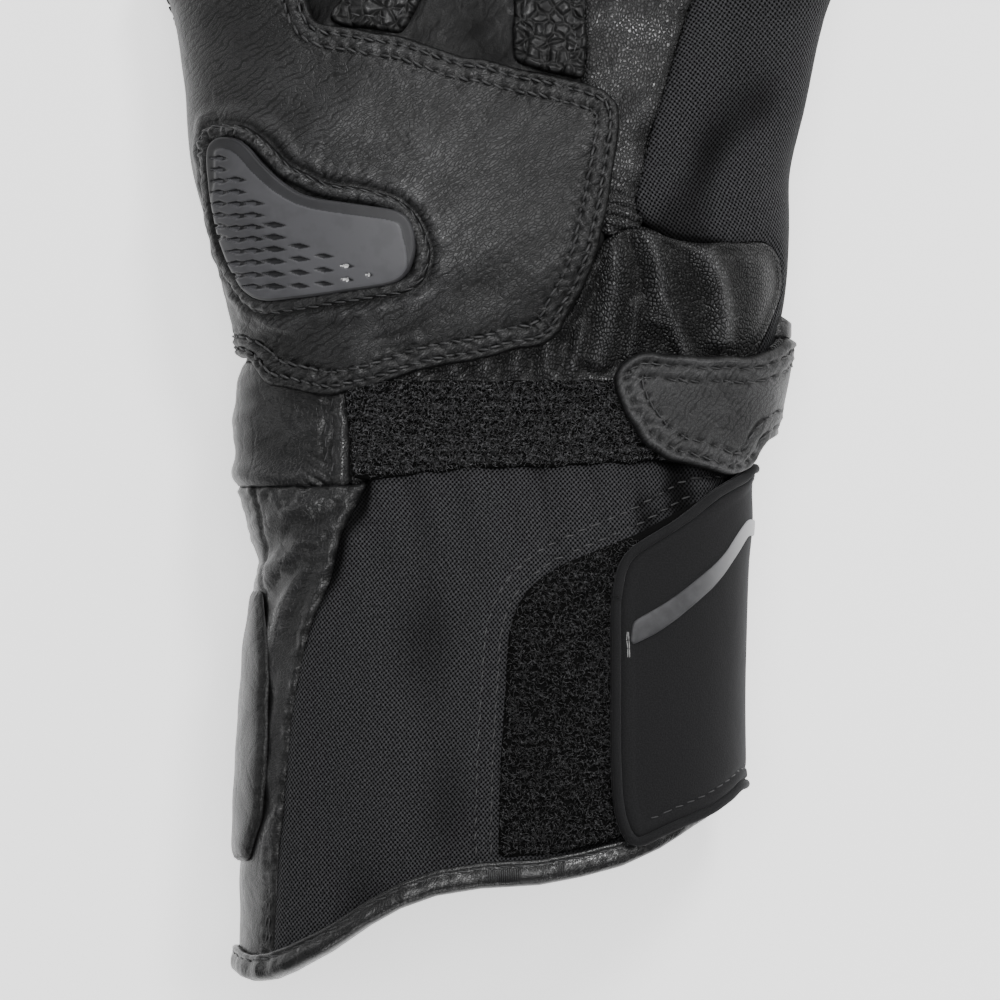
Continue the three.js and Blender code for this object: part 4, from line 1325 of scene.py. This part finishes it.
def side_folds(place):
    """The folds of the table, each with its hollow."""
    total = 0
    for x, y, turn, along, across, rise in SIDE_FOLDS:
        u, v = place.about(x, y, turn)
        fold = bump(v, across) - 0.5 * bump(v + 2.2, across)
        total = total + rise * bump(u, along) * fold
    return total


def cuff_side_relief(place):
    """Folds and crimps above, two sewn rows below, and a puffed edge and a seam between."""
    high = seam(place, 0.8) + side_folds(place) + 0.14 * place.waves(7, 31, 70, 2.0)
    high += crimped(place)
    high += 0.12 * place.waves(2.6, 32, 35, 1.7) * step_up(place.y, -95, -75)
    high += (0.3 + 0.3 * place.waves(2.6, 33)) * bump(place.d - 1.0, 1.0) * step_up(place.y, -152, -120)
    first, second = STITCH_ROWS["cuff_side"]
    low = step_up(-place.y, 127, 133)
    high += low * (sewn(place, first, 0.5, 0.28) + sewn(place, second, 0.5, 0.28))
    seamed = (place.x + 59.6 + 0.012 * (place.y + 75) ** 2 * (place.y > -75)) / 0.3
    return high - 0.6 * bump(seamed, 1.0) * step_up(place.y, -84, -78)


def cuff_front_relief(place):
    """Cloth drawn in below the wrist, sunk along the side seam, where the cloth's painted shade darkens it,
    and two grooves round the tape.
    """
    high = seam(place, 0.6) + 0.45 * place.waves(26, 41, 80, 2.0)
    drawn = bump((place.y + 62) / 14, 1.0)
    high += 0.35 * drawn * np.sin(2 * math.pi * (place.x + 0.25 * place.y) / 9.0)
    near = outside_of(place, "cuff_loop")
    first, second = STITCH_ROWS["cuff_loop"]
    high -= 0.9 * bump(place.d - 1.0, 1.5) * step_up(-place.x, 36, 40) * step_up(place.y, -92, -66)
    return high - 0.35 * bump(near + first, 0.5) - 0.35 * bump(near + second, 0.5)


def hand_back_relief(place):
    """Long soft folds of the stretch cloth."""
    high = seam(place, 0.8, 1.2) + 0.5 * place.waves(30, 51, 75, 2.2)
    return high + 0.16 * place.waves(9, 52, 85, 2.5)


def cuff_back_relief(place):
    """Long soft folds of the softshell."""
    return seam(place, 0.6) + 0.35 * place.waves(28, 61, 85, 2.0)


# Creases of the heel: x y turn along across rise.
HEEL_CREASES = [
    (-60.0, -28.0, 152, 9, 0.9, -0.55),
    (-57.0, -31.5, 155, 10, 0.9, -0.5),
    (-54.0, -35.0, 158, 10, 1.0, -0.5),
    (-61.0, -24.5, 148, 6, 0.8, -0.4),
    (-50.0, -27.5, 170, 9, 1.1, -0.35),
    (-36.0, -30.5, 12, 3.5, 0.5, -0.5),
    (-33.5, -29.6, 20, 3.0, 0.45, -0.45),
    (-31.0, -28.4, 30, 2.5, 0.45, -0.4),
    (-34.0, -32.4, 8, 3.5, 0.5, -0.4),
    (-30.0, -33.0, 14, 9, 0.9, -0.3),
    (-12.0, -28.5, 12, 9, 1.2, -0.3),
]


def creases(place):
    """The creases of the table, each a little bent."""
    total = 0
    for x, y, turn, along, across, rise in HEEL_CREASES:
        u, v = place.about(x, y, turn)
        total = total + rise * bump(u, along) * bump(v + 0.012 * u * u, across)
    return total


# The welt's middle, and how many puckers run round it.
WELT_MIDDLE = (-49, -9)
WELT_PUCKERS = 27


def welt_pucker(away, place):
    """Puckers of the leather drawn in round the plate's welt."""
    turn = np.arctan2(place.y - WELT_MIDDLE[1], place.x - WELT_MIDDLE[0])
    return np.sin(WELT_PUCKERS * turn + 1.5 * np.sin(5 * turn)) * (away < 5)


def heel_relief(place):
    """A rolled edge, two rows of stitches with a quilted ridge, creases, and puckers at the welt."""
    welt = outside_of(place, "frame")
    high = rolled(place, 1.2, 1.1) + 0.2 * bump(place.d - 0.9, 0.6)
    for at in STITCH_ROWS["heel"]:
        high += sewn(place, at, 0.95, 0.45, 0.6)
    uneven = 0.75 + 0.4 * place.waves(4, 72)
    scallop = place.scallop(0.8)
    high += (0.42 + 0.3 * scallop) * uneven * bump(place.d - 3.25, 0.95)
    high += 0.14 * scallop * bump(place.d - 0.9, 0.6) + 0.16 * scallop * bump(place.d - 5.8, 0.9)
    high += creases(place) - 0.45 * bump(welt - 0.4, 0.5)
    high += (0.45 + 0.2 * welt_pucker(welt, place)) * bump(welt - 2.4, 1.3)
    return high + 0.16 * place.waves(10, 71, 40, 1.8)


def grip_relief(place):
    """A rolled and sewn edge with a low ridge inside it."""
    high = rolled(place, 0.9, 0.9) + sewn(place, STITCH_ROWS["grip"][0], 0.55, 0.45, 0.4)
    return high + 0.3 * bump(place.d - 3.6, 1.2) + 0.3 * place.waves(4, 81)


def frame_relief(place):
    """The welt: puckered leather turned over a rim, sunk under the plate."""
    lumps = np.sin(2 * math.pi * place.along / STITCH + 1.2 * np.sin(place.along / 3.1))
    lumps = 0.5 + 0.35 * lumps + 0.3 * place.waves(1.5, 73)
    upper = step_up(place.y + 0.2 * place.x, -14, -8)
    high = rolled(place, 1.1, 0.9) + (0.25 + 0.75 * upper) * lumps * bump(place.d - 1.2, 0.85)
    high -= 0.35 * (0.6 + 0.4 * place.scallop()) * bump(place.d - STITCH_ROWS["frame"][0], 0.35)
    return high - 1.0 * step_up(place.d, 2.2, 3.2)


def recess_depth(place, row, i):
    """How far inside one diamond recess, 1 in its middle."""
    x, top, count, step, long, wide = row
    across = place.y - (top - i * step) - DIAMOND_LEAN * (place.x - x)
    return 1 - np.abs(place.x - x) / (long / 2) - np.abs(across) / (wide / 2)


def slider_relief(place):
    """A face raised inside a flat rim, with the rows of diamond recesses."""
    high = rolled(place, 0.5, 0.6) - 0.12 + 0.22 * step_up(inner_face(place), -0.1, 0.7)
    for row in DIAMONDS:
        for i in range(row[2]):
            high -= 0.8 * step_up(recess_depth(place, row, i), -0.02, 0.42)
    return high


def slider_parts(place):
    """The plate's face, its darker rim, painted shade in its recesses, and facets with a painted highlight or
    glint.
    """
    kind = np.where(inner_face(place) < 0.25, 1, 0)
    # Recesses take the rim's darker colour as painted shade; facets of the first rows a painted highlight,
    # those of the last rows a painted glint.
    for n, row in enumerate(DIAMONDS):
        for i in range(row[2]):
            deep = recess_depth(place, row, i) > 0.08
            kind[deep] = 1
            if n < LIT_ROWS:
                kind[deep & (place.x < row[0] + 0.3) & (place.y < row[1] - i * row[3] + 0.12)] = 3
    for row in DIAMONDS[-GLINT_ROWS:]:
        for i in range(row[2]):
            kind[(recess_depth(place, row, i) > 0.1) & (place.x < row[0] + 0.12)] = 2
    return kind


def inner_face(place):
    """How far inside the raised face of the plate: its rim is wide at the top and the right end."""
    rim = 0.3 + 1.7 * step_up(place.y + 0.35 * place.x, -29, -22)
    return place.d - rim


def strap_relief(place):
    """A rolled edge and two rows of stitches with a quilted ridge between them."""
    high = rolled(place, 1.0, 0.8) + 0.3 * bump(place.d - 0.8, 0.5)
    scallop = place.scallop()
    for at in STITCH_ROWS["strap"]:
        high += sewn(place, at, 0.8, 0.4, 0.6)
    high += (0.24 + 0.12 * scallop) * bump(place.d - 3.45, 0.9) + 0.1 * scallop * bump(place.d - 1.1, 0.6)
    return high + 0.18 * place.waves(13, 91, 20, 1.5)


def flap_waves(place):
    """Slow waves that the flap and its stripe share."""
    return 0.12 * place.waves(24, 101, 80, 1.6)


def sewn_flap(place):
    """The part of the flap's edge that is sewn down."""
    return (place.y < -114) & (place.x > 15)


def flap_relief(place):
    """The step down to the piping, a low inner face and the groove of its stitches."""
    high = -1.1 * (1 - step_up(place.d, 1.5, 2.1)) - 0.22 * step_up(place.d, 3.6, 4.3)
    groove = bump(place.d - STITCH_ROWS["flap"][0], 0.4) * sewn_flap(place)
    return high - 0.3 * groove + flap_waves(place)


def stripe_relief(place):
    """The flap's waves, thinner at its edge."""
    return flap_waves(place) - 0.15 * (1 - step_up(place.d, 0, 0.4))


def side_patch_relief(place):
    """A rolled and sewn edge, thinner at its upper end."""
    thinner = 0.5 * step_up(place.y, -94, -81) + 0.4 * bump(place.d, 2.0)
    high = rolled(place, 0.9, 1.6) + sewn(place, STITCH_ROWS["side_patch"][0], 0.4, 0.3, 0.4)
    return high + 0.15 * place.waves(8, 111) - 1.1 * thinner


def tape_relief(place):
    """The ground of a loop tape."""
    return rolled(place, 0.7, 0.6) + 0.08 * place.waves(3, 121)


RELIEF = {
    "palm": palm_relief, "thenar": thenar_relief, "gather": gather_relief, "wrist_side": wrist_side_relief,
    "cuff_side": cuff_side_relief, "cuff_front": cuff_front_relief, "hand_back": hand_back_relief,
    "cuff_back": cuff_back_relief, "heel": heel_relief, "grip": grip_relief, "frame": frame_relief,
    "slider": slider_relief, "band": tape_relief, "strap": strap_relief, "cuff_loop": tape_relief,
    "flap": flap_relief, "stripe": stripe_relief, "side_patch": side_patch_relief,
}
SHELL = (-WALL, 0.0)
FINE_ROWS = (0.5, 1.0, 1.6, 2.0, 2.5, 3.4, 4.3, 4.8, 5.3)
SEAM_ROWS = (0.6, 1.2, 1.8)
FLAP_ROWS = (0.5, 1.2, 1.8, 2.4, 3.0, 3.7, 4.1, 4.6)
# Every piece laid in the chart: name key layer pitch rows material slot node.
PIECES = [
    ("palm_fine", "palm", SHELL, 1.1, SEAM_ROWS, "palm", "palm_leather", "palm"),
    ("thenar_fine", "thenar", SHELL, FINE, SEAM_ROWS, "soft", "soft_leather", "thenar_panel"),
    ("gather_fine", "gather", SHELL, FINE, SEAM_ROWS, "soft", "soft_leather", "wrist_gather"),
    ("wrist_side_fine", "wrist_side", SHELL, 0.7, SEAM_ROWS, "side", "patch_leather", "wrist_side"),
    ("cuff_side_fine", "cuff_side", SHELL, 0.8, SEAM_ROWS, "side", "soft_leather", "cuff_side"),
    ("cuff_front_fine", "cuff_front", SHELL, 1.0, SEAM_ROWS, "woven", "woven_cloth", "cuff_front"),
    ("hand_back_fine", "hand_back", SHELL, 1.6, SEAM_ROWS, "stretch", "stretch_cloth", "hand_back"),
    ("cuff_back_fine", "cuff_back", SHELL, 1.8, SEAM_ROWS, "softshell", "softshell", "cuff_back"),
    ("heel_patch_fine", "heel", LAYER["patch"], 0.66, FINE_ROWS, "patch", "patch_leather", "heel_patch"),
    ("grip_patch_fine", "grip", LAYER["patch"], 0.7, (0.5, 1.0, 1.8, 2.4), "coarse", "coarse_leather",
     "grip_patch"),
    ("slider_frame_fine", "frame", LAYER["frame"], 0.45, (0.4, 0.8, 1.2, 1.8), "patch", "patch_leather",
     "slider_frame"),
    ("palm_slider_fine", "slider", LAYER["slider"], 0.26, (0.2, 0.4, 0.6), "plate", "hard_plate",
     "palm_slider"),
    ("wrist_tape_fine", "band", LAYER["tape"], 1.3, (0.4,), "tape", "loop_pile", "wrist_loop_tape"),
    ("wrist_strap_fine", "strap", LAYER["strap"], FINE, FINE_ROWS, "strap", "patch_leather", "wrist_strap"),
    ("cuff_tape_fine", "cuff_loop", LAYER["tape"], 1.4, (0.4,), "tape", "loop_pile", "cuff_loop_tape"),
    ("cuff_flap_fine", "flap", LAYER["strap"], 0.9, FLAP_ROWS, "softshell", "softshell", "cuff_flap"),
    ("stripe_fine", "stripe", LAYER["stripe"], 0.8, (0.3,), "film", "reflective_film", "reflective_stripe"),
    ("side_patch_fine", "side_patch", LAYER["patch"], 0.7, (0.5, 1.0, 1.6, 2.2), "side", "patch_leather",
     "cuff_side_patch"),
]
for name, key, layer, pitch, rows, material, slot, node in PIECES:
    materials, parts = [material], None
    if layer == SHELL:
        materials.append("lining")
    if key == "slider":
        # The darker rim with the recesses' painted shade, the painted glints, the painted highlights on
        # facets, and the inside.
        materials += ["plate_rim_and_recess_shade", "glint", "facet", "plate_rim_and_recess_shade"]
        parts = slider_parts
    sheet(name, key, layer, pitch, rows, materials, node, parts)

# Rolled and folded edges.


def make_piping():
    """The rolled cord round the flap's edge."""
    line = spaced(offset_line(RING["flap"], 0.85), 0.9)
    high = TOP["strap"] - 0.55 + 0.08 * ripples(line[:, 0], line[:, 1], 7, 131)
    swept("flap_piping_fine", world_line(*line.T, high), 0.95, 12, "softshell", closed=True,
          nodes=("flap_piping",))


# The binding's section: along the cuff from the hem's line, and height.
BINDING = [
    (4.5, 0.1), (4.55, 0.9), (4.2, 1.35), (3.75, 1.3), (3.4, 1.05), (3.0, 1.35), (2.2, 1.6), (1.2, 1.65),
    (0.3, 1.5), (-0.3, 0.9), (-0.6, 0.0), (-0.65, -1.3), (-0.6, -2.7), (-0.3, -3.6), (0.3, -4.1),
    (1.2, -4.25), (3.0, -4.2), (4.3, -4.1), (4.55, -3.7), (4.5, -3.0), (1.2, -2.95), (0.9, 0.05),
]
# The strip that the binding is cut from, places round the hem, and about where the hem lies.
HEM_PLACES = 420
HEM_Y = -140.0


def hem_line():
    """Chart places all round the cuff on the hem's line."""
    u = np.linspace(-1, 1, HEM_PLACES, endpoint=False)
    y = np.full(HEM_PLACES, HEM_Y)
    for _ in range(8):
        s = u * np.where(u >= 0, FORM.half("right", y), FORM.half("left", y))
        y = hem_at(FORM.read(s, y)[0][:, 0])
    return s, y


def make_binding():
    """The leather strip folded over the hem, crinkled where it is free."""
    s, y = hem_line()
    base = FORM.read(s, y)[0]
    crinkle = 0.16 * ripples(base[:, 0], base[:, 2], 5, 141) + 0.1 * ripples(base[:, 0], base[:, 2], 2.2, 142)
    points, uv = [], []
    for dy, h in BINDING:
        free = max(0.0, 1 - abs(dy - 1.8) / 3)
        points.append(FORM.lift(s, y + dy, h + crinkle * free * (1 if h > 0 else -0.5)))
        # The inner half of the section has a chart of its own, further down.
        across = np.full(HEM_PLACES, dy + (0 if h > -1 else -9))
        uv.append(np.stack([np.arange(HEM_PLACES) * 0.7, across], -1))
    points = np.stack(points, 1).reshape(-1, 3)
    points[:, 2] = np.maximum(points[:, 2], 0)
    faces = grid_faces(HEM_PLACES, len(BINDING), closed=True)
    return piece("hem_binding_fine", points, faces, ["binding"], ("hem_binding",),
                 np.stack(uv, 1).reshape(-1, 2))


# The keeper: where it stands, its loop seen from the end, its strip's section, and how far it is pulled down.
KEEPER = (41.1, -28.3, 22.0)
KEEPER_LOOP = [
    (-1.0, -0.6), (0.8, -0.2), (1.6, 0.8), (2.1, 2.3), (2.1, 4.1), (1.6, 5.5), (0.8, 6.4), (-1.0, 6.6),
]
KEEPER_SECTION = [
    (-1.8, 0), (-1.7, 0.8), (-1.2, 1), (0, 1.0), (1.2, 1), (1.7, 0.8), (1.8, 0), (1.7, -0.8), (1.2, -1),
    (0, -1), (-1.2, -1), (-1.7, -0.8),
]
KEEPER_THICK = 0.5
KEEPER_WIDE = 1.35
KEEPER_SLOPE = 0.8


def make_keeper():
    """A strip of leather folded into a loop that stands on the side of the wrist."""
    path = eased(spaced(KEEPER_LOOP, 0.35, closed=False), 4, closed=False)
    ahead = unit(np.gradient(path, axis=0))
    points = []
    for p, (forth, up) in zip(path, ahead):
        for t, e in KEEPER_SECTION:
            x, z = p + np.array((up, -forth)) * e * KEEPER_THICK
            slope = KEEPER_SLOPE * max(0.0, p[0]) * max(0.0, t) / 1.8
            points.append((KEEPER[0] + x, KEEPER[1] + KEEPER_WIDE * t - slope, KEEPER[2] + z))
    n, m = len(path), len(KEEPER_SECTION)
    piece("strap_keeper_fine", points, grid_faces(n, m).tolist() + end_faces(n, m), ["bare"],
          ("strap_keeper",))


# Loose thread turns beside the keeper: x and y where they start, run along the chart, turns, radius, height.
TACK = {"x": 38.0, "y": -32.9, "run": (3.6, 1.9), "turns": 6, "radius": 0.6, "height": 1.5}


def make_keeper_thread():
    """Loose turns of thread that tack the strap down beside its keeper."""
    t = np.linspace(0, 1, 150)
    turn = 2 * math.pi * TACK["turns"] * t
    s = FORM.s_above(TACK["x"], TACK["y"]) + TACK["run"][0] * t + 0.3 * TACK["radius"] * np.sin(2 * turn)
    y = TACK["y"] + TACK["run"][1] * t + TACK["radius"] * np.cos(turn)
    high = TACK["height"] + TACK["radius"] * np.sin(turn)
    swept("keeper_thread", world_line(s, y, high), 0.13, 6, "satin")


# Finger stalls.


def body_distance(points):
    """Roughly how far points stand outside the hand."""
    left, right, bottom, top = smooth_rows(BODY, np.clip(points[:, 1], CUFF_END, BODY_END)).T
    dx, dz = points[:, 0] - (left + right) / 2, points[:, 2] - (bottom + top) / 2
    grade = (np.abs(dx) / ((right - left) / 2)) ** SQUARE + (np.abs(dz) / ((top - bottom) / 2)) ** SQUARE
    grade = np.maximum(grade, 1e-6) ** (1 / SQUARE)
    away = np.hypot(dx, dz) * (1 - 1 / grade)
    beyond = points[:, 1] - BODY_END
    return np.where(beyond > 0, np.hypot(np.maximum(away, 0), beyond), away)


# A stall's mesh, how far round it the palm's leather reaches, and where along it the stall creases.
STALL_STEP = 1.3
STALL_SIDES = 72
TIP_RINGS = 13
PALM_HALF = math.radians(104)
CREASE_SHARES = (0.34, 0.66)
# A crease and its two neighbours: shift along the stall and depth.
CREASE = ((0, 0.9), (2.6, 0.45), (-2.8, 0.4))
# About half a stall's width, which turns angles round it into lengths.
STALL_RADIUS = 13.5
# How much of a stall the hand hides, how far round from the seam its stitches run, and how many of its rings
# at each end have none.
STALL_HIDDEN = 8
STITCH_TURN = math.radians(9)
STITCH_FREE = 8


def stall_grid(rows):
    """A stall's surface: rings of points along its length, the tip rounded."""
    line = np.array(rows, float)
    y0, y1 = line[0, 1], line[-1, 1]
    ys = np.linspace(y0, y1, int((y1 - y0) / STALL_STEP) + 2)
    x, z, width, depth = smooth_rows(line[:, [1, 0, 2, 3, 4]], ys).T
    reach = width[-1] * TIP_ROUND
    lean, rise = (x[-1] - x[-3]) / (ys[-1] - ys[-3]), (z[-1] - z[-3]) / (ys[-1] - ys[-3])
    for q in np.sin(np.linspace(0, math.pi / 2, TIP_RINGS)[1:]):
        ys = np.append(ys, y1 + reach * q)
        x = np.append(x, x[-1] + lean * (ys[-1] - ys[-2]))
        z = np.append(z, z[-1] + rise * (ys[-1] - ys[-2]))
        close = math.sqrt(max(0.0, 1 - (q * 0.999) ** STALL_SQUARE))
        width, depth = np.append(width, line[-1, 3] * close), np.append(depth, line[-1, 4] * close)
    around = np.linspace(-math.pi, math.pi, STALL_SIDES, endpoint=False)
    across, up = rounded(np.sin(around), STALL_SQUARE), rounded(np.cos(around), STALL_SQUARE)
    points = np.stack([x[:, None] + width[:, None] / 2 * across, np.repeat(ys[:, None], STALL_SIDES, 1),
                       z[:, None] + depth[:, None] / 2 * up], -1)
    return points, ys, around


def stall_rise(name, points, ys, around):
    """The seams down a stall's sides, its creases and ripples, and the fillets where it meets the rest."""
    flat = points.reshape(-1, 3)
    others = np.minimum(tube_distance(flat, skip=(name,)), body_distance(flat))
    side = np.abs(np.abs(around) - PALM_HALF) * 14
    first = ys[0] + STALL_HIDDEN
    long = ys[-1] - first
    high = -0.75 * bump(side, 0.8)[None] + 0.25 * bump(side - 1.8, 1.0)[None]
    palm_side = step_up(np.cos(around), -0.1, 0.4)[None]
    for share in CREASE_SHARES:
        for shift, deep in CREASE:
            high = high - deep * bump(ys - first - share * long - shift, 1.1)[:, None] * palm_side
    loose = 0.3 * ripples(flat[:, 0], flat[:, 1] + 0.5 * flat[:, 2], 9, 151, 10, 1.8)
    return high + loose.reshape(high.shape) + fillet(others.reshape(high.shape))


def make_stall(name, rows):
    """A finger stall of leather and softshell with its lining, and the lines of its two rows of stitches."""
    points, ys, around = stall_grid(rows)
    shown = ys > (THUMB_LEAVES[0] - 5 if name == "thumb" else rows[1][1] - STALL_HIDDEN)
    points, ys = points[shown], ys[shown]
    n, m = points.shape[:2]
    normal = unit(np.cross(np.roll(points, -1, 1) - np.roll(points, 1, 1), np.gradient(points, axis=0)))
    outer = points + normal * stall_rise(name, points, ys, around)[..., None]
    inner = points - normal * WALL
    for grid, floor in ((outer, 0.0), (inner, WALL)):
        grid[..., 2] = np.maximum(grid[..., 2], floor)
    quads, size, k = grid_faces(n, m), n * m, np.arange(m)
    rim = np.stack([k, k + size, (k + 1) % m + size, (k + 1) % m], -1)
    tip = end_faces(n, m)[1]
    faces = quads.tolist() + (quads[:, ::-1] + size).tolist() + rim.tolist()
    faces += [tip, [size + corner for corner in tip][::-1]]
    index = np.zeros(len(faces), np.int32)
    index[: len(quads)] = np.abs(around[quads[:, 0] % m] + math.pi / m) > PALM_HALF
    index[len(quads) : 2 * len(quads)] = 2
    index[-1] = 2
    uv = np.stack([np.tile(around * STALL_RADIUS, n), np.repeat(ys, m)], -1)
    made = piece(name + "_fine", np.concatenate([outer, inner]).reshape(-1, 3), faces,
                 ["palm", "softshell", "lining"], (name,), np.vstack([uv, uv]), index)
    lines = []
    for sign in (-1, 1):
        at = sign * (PALM_HALF - STITCH_TURN)
        k = int(round((at + math.pi) / (2 * math.pi) * m)) % m
        kept = slice(STITCH_FREE, n - STITCH_FREE)
        lines.append(np.hstack([outer[kept, k], normal[kept, k]]))
    return made, lines


STALLS, STALL_LINES = [], []
for name, rows in TUBES.items():
    made, lines = make_stall(name, rows)
    STALLS.append(made)
    STALL_LINES += lines
make_piping()
BINDING_PIECE = make_binding()
make_keeper()
make_keeper_thread()

# Loops of the two tapes, and a few longer fibres beside the flap.
pile("wrist_loops", RING["band"], TOP["tape"], 8100, "fibre", 161, right=24)
pile("cuff_loops", RING["cuff_loop"], TOP["tape"], 6800, "dark_fibre", 162, right=13)
STRAY = chart_of([(4.0, -86), (7.9, -86), (7.9, -115), (4.0, -115)], 24, 1)
pile("stray_fibres", STRAY, TOP["tape"], 60, "fibre", 163, wide=0.04, longer=2.4)

# Stitches.


def runs_of(keep):
    """The stretches that are kept, each as the places along a line."""
    cuts = np.where(np.diff(keep.astype(int)) != 0)[0] + 1
    return [run for run in np.split(np.arange(len(keep)), cuts) if keep[run[0]]]


def stitched(key, where=None):
    """The stitch lines of a piece, at the height of its relief, split where they are left out."""
    lines = []
    top = LAYER_OF[key][1]
    for distance in STITCH_ROWS[key]:
        chart = spaced(offset_line(RING[key], distance), DRAWN)
        place = Place(np.vstack([chart, chart[:1]]), RING[key], top)
        line = world_line(place.s, place.y, top + RELIEF[key](place))
        keep = where(place) if where else np.full(len(line), True)
        runs = [line[run] for run in runs_of(keep)]
        if len(runs) > 1 and keep[0] and keep[-1]:
            runs[0] = np.vstack([runs.pop(), runs[0]])
        lines += [run for run in runs if len(run) > 4]
    return lines


def drawn_line(key, points, top=0.0):
    """A stitch line drawn from above over a piece."""
    place = Place(np.array(chart_line(points, top)), RING[key], top)
    return world_line(place.s, place.y, top + RELIEF[key](place))


LAYER_OF = {row[1]: row[2] for row in PIECES}
threads("heel_stitches", stitched("heel"), radius=0.27, sink=-0.12)
threads("frame_stitches", stitched("frame"), radius=0.2, sink=0.0)
threads("strap_stitches", stitched("strap"), radius=0.17, sink=-0.04)
threads("grip_stitches", stitched("grip", lambda place: (place.y > 31) | (place.x > -14) & (place.y > 24)))
threads("flap_stitches", stitched("flap", sewn_flap), radius=0.16)
threads("side_patch_stitches", stitched("side_patch", lambda place: place.z > 26),
        radius=0.14)
front_lines = []
for at in STITCH_ROWS["cuff_loop"]:
    place = Place(spaced(offset_line(RING["cuff_loop"], at), DRAWN), RING["cuff_front"])
    line = world_line(place.s, place.y, cuff_front_relief(place))
    front_lines += [line[run] for run in runs_of((place.d > 1.5) & (place.x < 32)) if len(run) > 8]
threads("front_stitches", front_lines, radius=0.2)
threads("stall_stitches", STALL_LINES)
side_rows = [drawn_line("wrist_side", [(x, -41.5), (x + 0.2, -57.5)]) for x in (-46.5, -47.8)]
side_rows += stitched("cuff_side", lambda place: (place.y < -131) & (place.y > -150) & (place.z > 32))
threads("side_stitches", side_rows, radius=0.14)
s, y = hem_line()
threads("binding_stitches", [world_line(s, y + 3.4, 1.12)], radius=0.2)
# The satin bar on the binding and the white tack at the stripe's end. The bar's start, end and pitch.
BAR = (-17.5, -1.0, 0.36)
bar = []
for x in np.arange(*BAR):
    up = np.array((0.1, 0.9, 1.7, 2.5, 3.3))
    y = hem_at(x) + up
    bar.append(world_line(np.array([FORM.s_above(x, at) for at in y]), y, 1.72 - 0.12 * np.abs(up - 1.7)))
threads("satin_bar", bar, "satin", length=3.1, step=2.6, radius=0.2, twist=0.0)
tack_rows = [drawn_line("flap", [(x, -88.3), (x + 0.25, -93.4)], TOP["strap"]) for x in (11.0, 11.35)]
threads("stripe_tack", tack_rows, "tack", length=1.9, step=1.7, radius=0.1, twist=0.03)

# The camera looks straight down: middle of the view, its width at a height, and the camera's height.
VIEW = np.array([-13.65, -62.4, 0])
VIEW_WIDE = 195.0
SHOWN_AT = 46.0
CAMERA_UP = 2500.0
SENSOR = 36
camera = bpy.data.cameras.new("camera")
camera.sensor_width = SENSOR
camera.lens = SENSOR * (CAMERA_UP - SHOWN_AT) / VIEW_WIDE
camera.clip_end = 20
eye = placed("camera", camera)
eye.location = (VIEW + MIDDLE + (0, 0, CAMERA_UP)) * MM
bpy.context.scene.camera = eye

# Lights: name x y z size power, metres and watts, all aimed at the glove.
LIGHTS = [
    ("top", -0.05, 0.15, 2.9, 1.5, 42),
    ("key", 0.5, 0.9, 1.6, 0.4, 20),
    ("left", -1.5, 0.2, 0.9, 0.9, 4),
    ("right", 1.5, 0.4, 0.9, 0.9, 12),
    ("front", 0.1, -1.6, 0.9, 0.9, 7),
    ("back", 0.0, 1.6, 0.9, 0.9, 10),
]
AIM = Vector((-0.01, -0.04, 0.02))
for name, x, y, z, size, power in LIGHTS:
    lamp = bpy.data.lights.new(name, "AREA")
    lamp.shape = "DISK"
    lamp.size = size
    lamp.energy = power
    made = placed(name, lamp)
    made.location = (x, y, z)
    made.rotation_euler = (AIM - made.location).to_track_quat("-Z", "Y").to_euler()

WORLD_LIGHT = 0.06
world = bpy.data.worlds.new("studio")
bpy.context.scene.world = world
world.use_nodes = True
background = world.node_tree.nodes["Background"].inputs
background[0].default_value = (1, 1, 1, 1)
background[1].default_value = WORLD_LIGHT

# Half the width of the floor, in metres.
FLOOR = 3.0
corners = [(-FLOOR, -FLOOR, 0), (FLOOR, -FLOOR, 0), (FLOOR, FLOOR, 0), (-FLOOR, FLOOR, 0)]
floor_mesh = bpy.data.meshes.new("floor")
floor_mesh.from_pydata(corners, [], [(0, 1, 2, 3)])
floor_mesh.materials.append(floor_material())
floor = placed("floor", floor_mesh)
